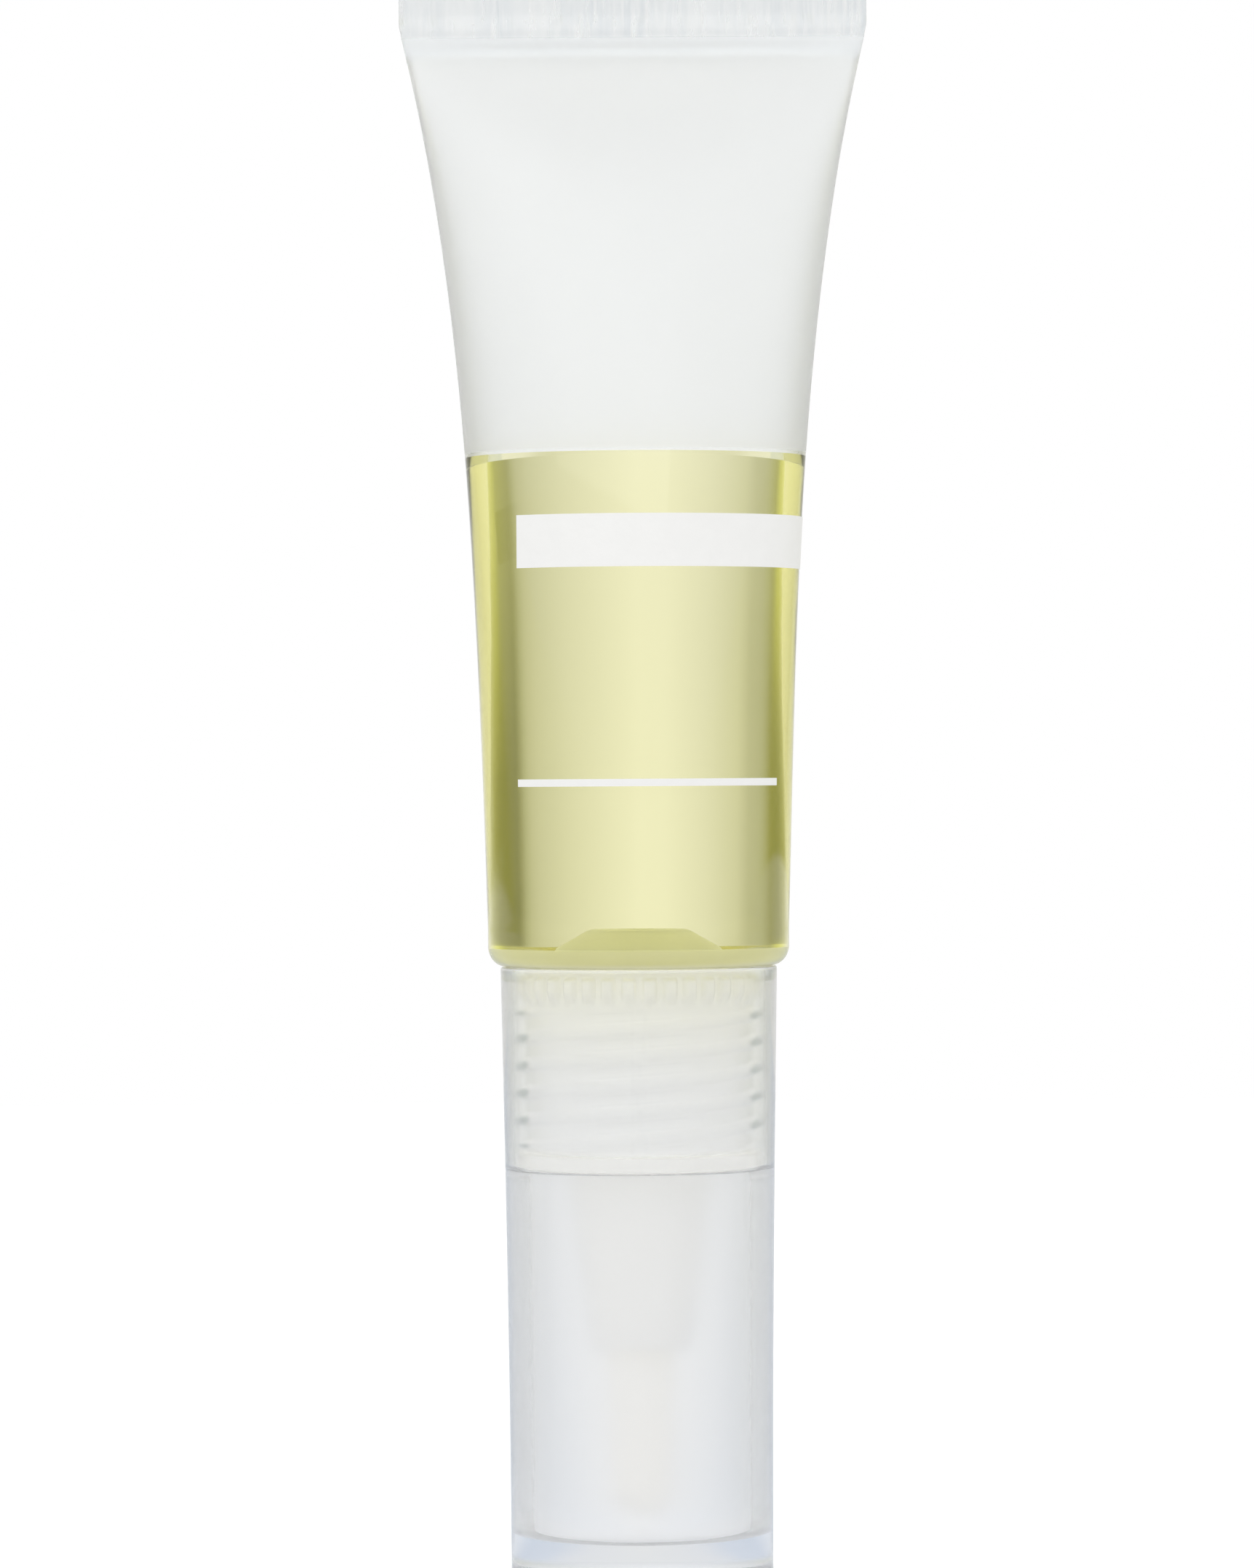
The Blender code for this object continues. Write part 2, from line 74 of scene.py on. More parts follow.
# Sizes that the solids' outlines follow
SLEEVE_WALL = 0.0005
SLEEVE_LENGTH = 0.0561
CRIMP_THICKNESS = 0.0010
CRIMP_SPREAD = 0.00016
CRIMP_SPREAD_RISE = 0.0010
PRESS_START = 0.0004
PRESS_RISE = 0.0012
PRESS_DEPTH = 0.00011
PRESS_SINK = 0.00012
SEAL_DROP = 0.0009
SEAL_HAZE = 0.0007
VOID_TIP = 0.00004
STEADY_FLARE_SHARE = 0.30
TOP_FLARE_SHARE = 0.64
TOP_FLARE_POWER = 3.4
CLOSING_POWER = 24
CRIMP_SQUARENESS = 5.0
SQUARING_POWER = 16
CORNER_REACH = 0.0011
CORNER_TOP = INNER_FLOOR + 0.0002
FLOOR_FILLET = 0.0002
NECK_RADIUS = 0.00720
NECK_BORE = 0.00590
COLLAR_RIB = 0.0004
COLLAR_RIBS = 36
COLLAR_TOP = SHOULDER - 0.0006
COLLAR_HEIGHT = 0.0019
COLLAR_RUN_OUT = 0.0011
THREAD_BORE = 0.00795
LEDGE = washer_low.z - FIT_GAP
CAP_FLOOR = 0.0030
CAP_TAPER = 0.00047
CAP_FOOT = cap_high.x - CAP_TAPER
CAP_TAPER_POWER = 1.6
CAP_WALL = 0.0014
CAP_DRAFT = 0.0001
CAP_BASE_ROUND = 0.0007
CAP_RIM_ROUND = 0.00012
CAP_FLOOR_FILLET = 0.0006
LEDGE_ROUND = 0.00006
WASHER_SEAT = 0.00003
CAP_SEAT = 0.00026
GATE_RADIUS = 0.0008
GATE_DEPTH = 0.00025

# Screw thread: right-handed, with two starts
THREAD_PITCH = 0.00172
THREAD_STARTS = 2
THREAD_HEIGHT = 0.0005
THREAD_BASE = 0.00095
THREAD_CREST = 0.00020
BORE_THREAD_HEIGHT = 0.00010
BORE_THREAD_START = math.radians(18)
THREAD_BOTTOM = 0.0272
THREAD_TOP = 0.0364
NECK_THREAD_PHASE = 0.60
THREAD_FADE = 0.0005
# The neck's thread is eased near the mould's parting line, which is a fine upright rib
PARTING_SHARE = 0.15
PARTING_START = math.radians(55)
PARTING_FADE = math.radians(22)
PARTING_RIB = 0.00010
PARTING_RIB_ANGLE = math.radians(3.0)

# Plug, brush holder, washer and feed tube
PLUG_CONE_TOP = 0.0021
PLUG_CONE_BASE = 0.0037
PLUG_DISC = 0.0056
PLUG_DISC_THICKNESS = 0.0007
PLUG_SPIGOT = 0.0043
ORIFICE = 0.00075
STEM_WALL = 0.0010
STEP_HEIGHT = 0.0004
HOLDER_ROOT = 0.00475
NOZZLE_TIP = 0.00315
TUFT_BORE = 0.0026
TUFT_BORE_END = 0.0248
WASHER_BORE = 0.00505
WASHER_ROUND = 0.00015
PIPE_RADIUS = 0.00040
PIPE_BORE = 0.00020
PIPE_FLANGE = 0.0004
FLANGE_BEVEL = 0.00008
BEVEL = 0.0001
FINE_BEVEL = 0.00005

# Brush
HAIRS = 760
HAIR_SIDES = 5
HAIR_SPANS = 6
HAIR_EDGE_GAP = 0.00012
TUFT_CORE = 0.00062
ROOT_DISC = 0.0010

# Print: heights, the left end's X, and the right end's degrees from the front
PRINT_LEFT = -0.0074
BAND_HEIGHTS, BAND_END = (0.0637, 0.0670), 88
RULE_HEIGHTS, RULE_END = (0.05011, 0.05057), 62
INK_LIFT = 0.00003
INK_THICKNESS = 0.00002

# The sleeve's slight unevenness, which comes in above the shoulder's rim
WAVE_DEPTH = 0.00003
WAVE_SCALE = 130
WAVE_SEED = 1.7
WAVE_RUN_IN = 0.006

# Refraction: wetted faces step from plastic to oil, and the oil's own side doesn't bend light again
PLASTIC_INDEX = 1.49
OIL_INDEX = 1.46
OIL_INSET = 0.00001
DRY_FADE = 0.0003

# Mesh spacing
ROUND = 288
WALL_STEP = 0.0010
FLARE_STEP = 0.0006
SEAL_STEP = 0.0005
CRIMP_STEP = 0.0002
NECK_STEP = 0.000085
BORE_STEP = 0.00008
CLOSING_LENGTH = 0.0120
crimp_foot = sleeve_low.z + SLEEVE_LENGTH
seal_line = crimp_foot - SEAL_DROP


def smooth(value):
    """Eases 0 to 1."""
    value = min(max(value, 0.0), 1.0)
    return value * value * (3 - 2 * value)


def spaced(start, end, step):
    """Evenly spaced values from start to end, about one step apart."""
    count = max(1, round(abs(end - start) / step))
    return [start + (end - start) * index / count for index in range(count + 1)]


def arc(centre_r, centre_z, reach_r, reach_z, start_deg, end_deg, steps=8):
    """Points of an elliptical arc in the radius-height plane."""
    points = []
    for step in range(steps + 1):
        angle = math.radians(start_deg + (end_deg - start_deg) * step / steps)
        points.append((centre_r + reach_r * math.cos(angle), centre_z + reach_z * math.sin(angle)))
    return points


def link(name, vertices, faces, finish, sharp_deg=40):
    """Smooth-shaded mesh object with one material."""
    mesh = bpy.data.meshes.new(name)
    mesh.from_pydata(vertices, [], faces)
    mesh.validate()
    mesh.shade_smooth()
    mesh.set_sharp_from_angle(angle=math.radians(sharp_deg))
    mesh.materials.append(finish)
    made = bpy.data.objects.new(name, mesh)
    scene.collection.objects.link(made)
    return made


def closed_skin(name, rings, finish, looped=False, sharp_deg=40, finish_of=None):
    """Closed surface through rings of equal count, given so that its faces point out.

    finish_of gives a finish for each row of faces, in place of the one finish.
    """
    count = len(rings[0])
    vertices = [point for ring in rings for point in ring]
    faces = []
    spans = len(rings) if looped else len(rings) - 1
    for row in range(spans):
        lower = row * count
        upper = (row + 1) % len(rings) * count
        for index in range(count):
            after = (index + 1) % count
            faces.append((lower + index, lower + after, upper + after, upper + index))
    if not looped:
        half = count // 2
        last = (len(rings) - 1) * count
        faces.append((0, count - 1, 1))
        faces.append((half, half - 1, half + 1))
        faces.append((last, last + 1, last + count - 1))
        faces.append((last + half - 1, last + half, last + half + 1))
        for index in range(1, half - 1):
            faces.append((index + 1, index, count - index, count - index - 1))
            across = last + count - index
            faces.append((last + index, last + index + 1, across - 1, across))
    made = link(name, vertices, faces, finish, sharp_deg)
    if finish_of:
        finishes = [finish]
        for face in made.data.polygons:
            own = finish_of(min(face.index // count, spans - 1))
            if own not in finishes:
                finishes.append(own)
                made.data.materials.append(own)
            face.material_index = finishes.index(own)
    return made


def circle(radius, height, count=ROUND):
    """Ring of points; radius is a length or a function of the angle."""
    points = []
    for index in range(count):
        angle = math.tau * index / count
        reach = radius(angle) if callable(radius) else radius
        points.append((reach * math.cos(angle), reach * math.sin(angle), height))
    return points


def circles(points, count=ROUND):
    """Rings through (radius, height) points."""
    return [circle(radius, height, count) for radius, height in points]


def turned(name, outline, finish, count=128):
    """Closed surface from a closed outline of (radius, height) points."""
    return closed_skin(name, circles(outline, count), finish, looped=True)


# Sleeve form, by the rules that its solid follows

def ellipse_girth(half_width, half_depth):
    """Length round an ellipse, by Ramanujan's formula."""
    return math.pi * (3 * (half_width + half_depth)
                      - math.sqrt((3 * half_width + half_depth) * (half_width + 3 * half_depth)))


def depth_for_girth(half_width):
    """Half depth that keeps the sleeve's girth."""
    girth = math.tau * TUBE_RADIUS
    low, high = 0.0, half_width
    for _ in range(40):
        middle = (low + high) / 2
        if ellipse_girth(half_width, middle) < girth:
            low = middle
        else:
            high = middle
    return (low + high) / 2


def sleeve_rise(height):
    """0 at the sleeve's weld and 1 at the crimp's foot."""
    return min(max((height - sleeve_low.z) / SLEEVE_LENGTH, 0.0), 1.0)


def sleeve_half_size(height):
    """Half width and half depth of the sleeve's outer face."""
    rise = sleeve_rise(height)
    spread = STEADY_FLARE_SHARE * rise + TOP_FLARE_SHARE * rise ** TOP_FLARE_POWER
    half_width = TUBE_RADIUS * (1 + (math.pi / 2 - 1) * spread)
    open_depth = depth_for_girth(half_width)
    half_crimp = CRIMP_THICKNESS / 2
    half_depth = half_crimp + (open_depth - half_crimp) * (1 - rise ** CLOSING_POWER)
    widened = CRIMP_SPREAD * smooth((height - crimp_foot) / CRIMP_SPREAD_RISE)
    return half_width + widened, half_depth


def sleeve_half_inside(height):
    """Half width and half depth of the sleeve's inside."""
    half_width, half_depth = sleeve_half_size(height)
    rise = min(max((height - sleeve_low.z) / (seal_line - sleeve_low.z), 0.0), 1.0)
    half_tip = VOID_TIP / 2
    open_depth = max(half_depth - SLEEVE_WALL, half_tip)
    return half_width - SLEEVE_WALL, half_tip + (open_depth - half_tip) * (1 - rise ** CLOSING_POWER)


def sleeve_squareness(height):
    """2 gives an ellipse, more gives a flatter section."""
    return 2 + (CRIMP_SQUARENESS - 2) * sleeve_rise(height) ** SQUARING_POWER


def section(half_width, half_depth, squareness, height):
    """Ring round one cross-section, starting at +X."""
    points = []
    for index in range(ROUND):
        angle = math.tau * index / ROUND
        across = math.cos(angle)
        reach = max(1 - abs(across) ** squareness, 0.0) ** (1 / squareness)
        depth = math.copysign(half_depth * reach, math.sin(angle))
        if index % (ROUND // 2) == 0:
            depth = 0.0
        points.append((half_width * across, depth, height))
    return points


def uneven(points, height, flat=1):
    """Moves a ring's points in and out a little, as drawn plastic walls do."""
    depth = WAVE_DEPTH * flat * smooth((height - SHOULDER_RIM) / WAVE_RUN_IN)
    moved = []
    for x, y, z in points:
        spot = Vector((x * WAVE_SCALE, y * WAVE_SCALE, z * WAVE_SCALE * 0.5 + WAVE_SEED))
        push = depth * noise.noise(spot)
        reach = math.hypot(x, y) or 1.0
        moved.append((x + push * x / reach, y + push * y / reach, z))
    return moved


def sleeve_ring(half_width, half_depth, squareness, height):
    """Ring of the sleeve's wall, with its unevenness fading out towards the flat crimp."""
    flat = 1 - sleeve_rise(height) ** SQUARING_POWER
    return uneven(section(half_width, half_depth, squareness, height), height, flat)


def crimp_pressed(points, height):
    """Presses the jaw's fine upright marks into both faces of the crimp."""
    strength = smooth((height - crimp_foot - PRESS_START) / PRESS_RISE)
    if strength == 0:
        return points
    pressed = []
    for x, y, z in points:
        slant = x * 1000 + 0.35 * noise.noise(Vector((x * 300, 3.1, z * 260)))
        marks = noise.noise(Vector((slant * 1.6, 0.0, z * 90)))
        marks += 0.6 * noise.noise(Vector((slant * 3.7, 7.0, z * 160)))
        side = 1 if y > 0 else -1
        share = min(abs(y) / (CRIMP_THICKNESS / 2), 1.0)
        push = PRESS_DEPTH * strength * marks * share - PRESS_SINK * strength * share
        pressed.append((x, y + side * push, z))
    return pressed


# Finishes

def add(tree, kind, inputs=None, **settings):
    """New node; inputs gives values to set and sockets to link, by an input's name or number."""
    made = tree.nodes.new("ShaderNode" + kind)
    for name, value in settings.items():
        setattr(made, name, value)
    for name, value in (inputs or {}).items():
        if isinstance(value, bpy.types.NodeSocket):
            tree.links.new(value, made.inputs[name])
        else:
            made.inputs[name].default_value = value
    return made


def new_finish(name):
    """Empty node material, with its tree and its object coordinates."""
    made = bpy.data.materials.new(name)
    made.use_nodes = True
    tree = made.node_tree
    tree.nodes.clear()
    return made, tree, add(tree, "TexCoord").outputs["Object"]


def noise_node(tree, place, scale, detail=3.0, roughness=0.5, stretch=(1, 1, 1)):
    """Noise over the piece, stretched along its axes."""
    mapping = add(tree, "Mapping", {"Scale": stretch, "Vector": place})
    return add(tree, "TexNoise", {"Scale": scale, "Detail": detail, "Roughness": roughness,
                                  "Vector": mapping.outputs["Vector"]}).outputs["Fac"]


def ranged(tree, value, low, high, out_low=0, out_high=1, easing="LINEAR"):
    """Maps a value's range onto another, clamped."""
    inputs = {"From Min": low, "From Max": high, "To Min": out_low, "To Max": out_high, "Value": value}
    return add(tree, "MapRange", inputs, interpolation_type=easing).outputs["Result"]


def by_height(tree, place, low, high):
    """Eases from 0 at one height to 1 at another, along the piece."""
    split = add(tree, "SeparateXYZ", {"Vector": place})
    return ranged(tree, split.outputs["Z"], low, high, easing="SMOOTHSTEP")


def by_reach(tree, place, low, high):
    """0 nearer to the axis than one radius and 1 further out than another."""
    across = add(tree, "VectorMath", {0: place, 1: (1, 1, 0)}, operation="MULTIPLY")
    reach = add(tree, "VectorMath", {0: across.outputs["Vector"]}, operation="LENGTH")
    return ranged(tree, reach.outputs["Value"], low, high)


def both_of(tree, first, second, operation="MULTIPLY"):
    """Joins two values, by multiplying them if nothing else is said."""
    return add(tree, "Math", {0: first, 1: second}, operation=operation).outputs["Value"]


def blended(tree, value, *colours):
    """Goes from one colour to another with a value; each is a socket, or red, green and blue."""
    first, second = (colour if isinstance(colour, bpy.types.NodeSocket) else (*colour, 1)
                     for colour in colours)
    made = add(tree, "Mix", {"Factor": value, "A": first, "B": second}, data_type="RGBA")
    return made.outputs["Result"]


def relief(tree, value, strength, distance):
    """Small relief, for a shader's Normal."""
    made = add(tree, "Bump", {"Strength": strength, "Distance": distance, "Height": value})
    return made.outputs["Normal"]


def flow_marks(tree, place, scale, upright):
    """Faint drawn-out clouds in clear plastic, from 0 to 1."""
    return ranged(tree, noise_node(tree, place, scale, 4, 0.55, (1, 1, upright)), 0.35, 0.7)


def wear(tree, place, rough):
    """Uneven polish."""
    return ranged(tree, noise_node(tree, place, 420, 5, 0.6), 0.3, 0.75, *rough)


def ripple(tree, place, strength):
    """Slight ripple, as moulded and drawn plastic has."""
    return relief(tree, noise_node(tree, place, 900, 2, 0.4, (1, 1, 0.3)), strength, 0.0002)


def put_out(tree, shader, lamp_tint=None, depth=None):
    """Leads a shader to the output.

    With lamp_tint, lamps shine through it, so that what is behind it isn't in black shadow. depth is
    a tint and a density, which colour it by the depth that light crosses.
    """
    surface = shader.outputs["BSDF"]
    if lamp_tint:
        passing = add(tree, "BsdfTransparent", {"Color": (*lamp_tint, 1)})
        shadow = add(tree, "LightPath").outputs["Is Shadow Ray"]
        mix = add(tree, "MixShader", {"Fac": shadow, 1: surface, 2: passing.outputs["BSDF"]})
        surface = mix.outputs["Shader"]
    output = add(tree, "OutputMaterial", {"Surface": surface})
    if depth:
        tint, density = depth
        inner = add(tree, "VolumeAbsorption", {"Color": (*tint, 1), "Density": density})
        tree.links.new(inner.outputs["Volume"], output.inputs["Volume"])


def plain_finish(name, grain, tints, rough, fine=None, clear=0.0, index=1.5, lamp_tint=None, depth=None):
    """Finish whose colour and polish follow one noise.

    grain holds the noise's settings, and fine holds a bump's strength and its own noise's settings.
    """
    made, tree, place = new_finish(name)
    fleck = noise_node(tree, place, *grain)
    inputs = {"Base Color": blended(tree, ranged(tree, fleck, 0.3, 0.7), *tints),
              "Roughness": ranged(tree, fleck, 0.3, 0.7, *rough),
              "Transmission Weight": clear, "IOR": index}
    if fine:
        strength, *fine_grain = fine
        inputs["Normal"] = relief(tree, noise_node(tree, place, *fine_grain), strength, 0.0001)
    put_out(tree, add(tree, "BsdfPrincipled", inputs), lamp_tint, depth)
    return made


def sleeve_finish(name, tints, rough, index, clear=0.985, dry_rough=0.0):
    """Clear drawn plastic of the sleeve, hazy at the seal.

    index is that of its step to air or to oil, and dry_rough is how dull the face is above the oil.
    """
    made, tree, place = new_finish(name)
    flow = flow_marks(tree, place, 160, 0.35)
    sealed = by_height(tree, place, seal_line - SEAL_HAZE, seal_line)
    haze = blended(tree, flow, (0.88, 0.90, 0.905), (0.91, 0.93, 0.935))
    above_oil = by_height(tree, place, OIL_LEVEL, OIL_LEVEL + DRY_FADE)
    dull = ranged(tree, above_oil, 0, 1, 0, dry_rough)
    shader = add(tree, "BsdfPrincipled", {
        "Base Color": blended(tree, sealed, blended(tree, flow, *tints), haze),
        "Roughness": both_of(tree, wear(tree, place, rough), dull, "MAXIMUM"),
        "Transmission Weight": ranged(tree, sealed, 0, 1, clear, 0.45),
        "IOR": index, "Normal": ripple(tree, place, 0.015)})
    put_out(tree, shader, (0.985, 0.985, 0.98))
    return made


def crimp_finish():
    """Sleeve plastic pressed dull by the sealing jaw, with fine upright streaks whose grooves are
    painted darker as shade.
    """
    made, tree, place = new_finish("crimp_pressed")
    streak = noise_node(tree, place, 2600, 3, 0.6, (1, 1, 0.05))
    group = noise_node(tree, place, 420, 1, 0.5, (1, 1, 0.08))
    # Painted shade: darker where the streak's bump sinks into grooves
    groove_painted_shade = both_of(tree, ranged(tree, streak, 0.60, 0.44), ranged(tree, group, 0.38, 0.62, 0.25, 1))
    shader = add(tree, "BsdfPrincipled", {
        "Base Color": blended(tree, groove_painted_shade, (0.895, 0.91, 0.91), (0.80, 0.83, 0.85)),
        "Roughness": ranged(tree, streak, 0.3, 0.7, 0.14, 0.30), "Transmission Weight": 0.80,
        "IOR": PLASTIC_INDEX, "Normal": relief(tree, streak, 0.35, 0.0002)})
    put_out(tree, shader, (0.97, 0.975, 0.975))
    return made


def head_finish(name, rough, index, clear, slab_painted_oil_light_tints):
    """Cloudy natural plastic of the shoulder and neck, with the oil's yellow light on the shoulder and
    the top of the neck painted into its colour, and painted shade on the thread's teeth.
    """
    made, tree, place = new_finish(name)
    flow = flow_marks(tree, place, 300, 0.5)
    neck = blended(tree, flow, (0.98, 0.985, 0.998), (0.985, 0.99, 1.0))
    # Painted shade: the thread's crests are coloured dark grey-blue all round, standing in for the shade
    # along them
    teeth_painted_shade = blended(tree, flow, (0.52, 0.56, 0.585), (0.56, 0.60, 0.62))
    # Painted yellow light from the oil above, fading in up the neck towards the shoulder
    collar = blended(tree, flow, (0.99, 0.99, 0.95), (0.998, 0.998, 0.96))
    # Painted yellow light from the oil above, on the shoulder's slab
    slab_painted_oil_light = blended(tree, flow, *slab_painted_oil_light_tints)
    up_neck = by_height(tree, place, SHOULDER - 0.0080, SHOULDER - 0.0008)
    up_slab = by_height(tree, place, SHOULDER - 0.0004, SHOULDER + 0.0004)
    teeth_shade_mask = both_of(tree, by_reach(tree, place, NECK_RADIUS + 0.00021, NECK_RADIUS + 0.00030),
                       by_height(tree, place, THREAD_TOP, THREAD_TOP - 0.0002))
    lower = blended(tree, teeth_shade_mask, blended(tree, up_neck, neck, collar), teeth_painted_shade)
    shader = add(tree, "BsdfPrincipled", {
        "Base Color": blended(tree, up_slab, lower, slab_painted_oil_light), "Roughness": wear(tree, place, rough),
        "Transmission Weight": clear, "IOR": index, "Normal": ripple(tree, place, 0.10)})
    put_out(tree, shader, (0.985, 0.985, 0.97))
    return made


def cap_finish():
    """Clear moulded cap: dull inside from its mould's core, frosted at bends, and smoky where thick."""
    made, tree, place = new_finish("cap_clear")

    def from_to(low, high):
        return by_height(tree, place, low, high)

    flow = flow_marks(tree, place, 160, 0.35)
    thin = blended(tree, flow, (0.997, 0.997, 0.997), (0.99, 0.992, 0.994))
    thick = blended(tree, flow, (0.945, 0.957, 0.975), (0.935, 0.948, 0.97))
    up_wall = from_to(CAP_FLOOR - 0.0006, CAP_FLOOR + 0.0008)
    outside = by_reach(tree, place, THREAD_BORE + 0.00002, THREAD_BORE + 0.00012)
    inside = ranged(tree, outside, 0, 1, 1, 0)
    dull_part = both_of(tree, inside, from_to(0.0010, 0.0006), "MAXIMUM")
    dull = ranged(tree, from_to(LEDGE - 0.0004, LEDGE + 0.0004), 0, 1, 0.38, 0.20)
    polish = add(tree, "Mix", {"Factor": dull_part, "A": wear(tree, place, (0.05, 0.10)), "B": dull})
    on_ledge = both_of(tree, from_to(LEDGE - 0.0006, LEDGE - 0.0003),
                       from_to(LEDGE + 0.0003, LEDGE + 0.0001))
    on_floor = both_of(tree, from_to(0.0010, 0.0020), from_to(CAP_FLOOR + 0.0020, CAP_FLOOR + 0.0002))
    bends = both_of(tree, inside, both_of(tree, on_ledge, on_floor, "MAXIMUM"))
    rim = cap_high.z + CAP_SEAT
    frosted_part = both_of(tree, bends, from_to(rim - 0.0003, rim - 0.0001), "MAXIMUM")
    shader = add(tree, "BsdfPrincipled", {
        "Base Color": blended(tree, up_wall, thick, thin), "Roughness": polish.outputs["Result"],
        "Transmission Weight": ranged(tree, frosted_part, 0, 1, 0.97, 0.70),
        "IOR": PLASTIC_INDEX, "Normal": ripple(tree, place, 0.03)})
    put_out(tree, shader, (0.985, 0.985, 0.99), ((0.62, 0.72, 0.86), 5))
    return made


def oil_finish(name, index, depth=None):
    """Clear yellow oil."""
    return plain_finish(name, (90, 2, 0.4, (1, 1, 0.4)), ((0.995, 0.99, 0.955), (0.99, 0.985, 0.94)),
                        (0.0, 0.01), None, 1.0, index, (0.98, 0.97, 0.85), depth)


def frosted_plastic(name, *tints):
    """Natural plastic of the brush holder and its plug: cloudy, with a fine grain."""
    return plain_finish(name, (260, 4, 0.55), tints, (0.28, 0.42), (0.25, 2400, 3, 0.6), 0.06, 1.45,
                        (0.985, 0.985, 0.98))


def soft_plastic(name, first, second, rough):
    """Soft translucent plastic of the washer and the feed tube."""
    return plain_finish(name, (500, 4, 0.6), (first, second), (rough, rough + 0.12),
                        (0.2, 3000, 2, 0.5), 0.35, 1.41, (0.98, 0.98, 0.975))


wet_tints = (0.975, 0.978, 0.965), (0.965, 0.968, 0.955)
sleeve_outside = sleeve_finish("sleeve_clear", wet_tints, (0.02, 0.05), PLASTIC_INDEX, dry_rough=0.42)
sleeve_dry = sleeve_finish("sleeve_inside_dry", ((0.965, 0.978, 0.985), (0.95, 0.963, 0.97)),
                           (0.20, 0.26), PLASTIC_INDEX, 0.96)
sleeve_wet = sleeve_finish("sleeve_inside_wet", wet_tints, (0.02, 0.04), PLASTIC_INDEX / OIL_INDEX, 1.0)
crimp_pressed_finish = crimp_finish()
# The last tints of each head finish are the shoulder's painted yellow light from the oil
head_outside = head_finish("head_cloudy", (0.14, 0.22), PLASTIC_INDEX, 0.25,
                           ((0.735, 0.722, 0.365), (0.755, 0.742, 0.39)))
head_wet = head_finish("head_inside_wet", (0.10, 0.16), PLASTIC_INDEX / OIL_INDEX, 0.55,
                       ((0.70, 0.68, 0.36), (0.72, 0.70, 0.38)))
cap_clear = cap_finish()
cuticle_oil = oil_finish("cuticle_oil", 1.0, ((0.945, 0.895, 0.05), 30))
oil_surface = oil_finish("oil_surface", OIL_INDEX)
frosted = frosted_plastic("frosted_plastic", (0.975, 0.975, 0.97), (0.99, 0.99, 0.985))
frosted_oily = frosted_plastic("frosted_plastic_oily", (0.665, 0.68, 0.51), (0.685, 0.70, 0.53))
washer_soft = soft_plastic("washer_soft", (0.97, 0.97, 0.97), (0.985, 0.985, 0.985), 0.45)
feed_soft = soft_plastic("feed_soft", (0.92, 0.92, 0.91), (0.95, 0.95, 0.94), 0.35)
nylon = plain_finish("nylon_hair", (5200, 3, 0.6, (1, 1, 0.03)),
                     ((0.985, 0.982, 0.978), (0.998, 0.996, 0.993)), (0.25, 0.45), None, 0.08, 1.35,
                     (0.995, 0.995, 0.992))
white_ink = plain_finish("white_print", (700, 5, 0.6), ((0.865, 0.865, 0.85), (0.885, 0.885, 0.87)),
                         (0.28, 0.40), (0.15, 2600, 3, 0.6))


# Threads and ribs

def ridge(angle, height, offset):
    """Share of the thread's full height at a point of the neck or the cap's bore."""
    phase = (height / THREAD_PITCH - THREAD_STARTS * angle / math.tau + offset) % 1.0
    away = abs(phase - 0.5) * THREAD_PITCH
    flank = (THREAD_BASE - THREAD_CREST) / 2
    share = smooth((THREAD_BASE / 2 - away) / flank)
    from_end = min(height - THREAD_BOTTOM, THREAD_TOP - height)
    return share * smooth(from_end / THREAD_FADE)


def from_parting(angle):
    """Angle from the mould's parting line, which runs down the front and the back."""
    off = abs(math.atan2(math.cos(angle), math.sin(angle)))
    return min(off, math.pi - off)


def thread_share(angle):
    """1 where the thread is full and less near the parting line, where the mould eases it."""
    away = smooth((from_parting(angle) - PARTING_START) / PARTING_FADE)
    return PARTING_SHARE + (1 - PARTING_SHARE) * away


def neck_radius(height):
    """Neck radius as a function of the angle, with its thread and the collar's upright ribs."""
    def reach(angle):
        radius = NECK_RADIUS
        radius += THREAD_HEIGHT * ridge(angle, height, NECK_THREAD_PHASE) * thread_share(angle)
        radius += PARTING_RIB * smooth(1.5 - from_parting(angle) / PARTING_RIB_ANGLE)
        wave = abs((angle * COLLAR_RIBS / math.tau) % 1.0 - 0.5) * 2
        tall = min(smooth((height - COLLAR_TOP + COLLAR_HEIGHT) / COLLAR_RUN_OUT),
                   smooth((COLLAR_TOP - height) / 0.0002))
        return radius + COLLAR_RIB * tall * smooth((0.75 - wave) / 0.35)
    return reach


def bore_radius(height):
    """Radius of the cap's upper bore, with its inner thread in two parts, at the front and the back."""
    def reach(angle):
        share = 1 - smooth((from_parting(angle) - BORE_THREAD_START) / PARTING_FADE)
        return THREAD_BORE - BORE_THREAD_HEIGHT * ridge(angle, height, NECK_THREAD_PHASE + 0.5) * share
    return reach


# Tube: sleeve, shoulder and neck are welded into one clear shell

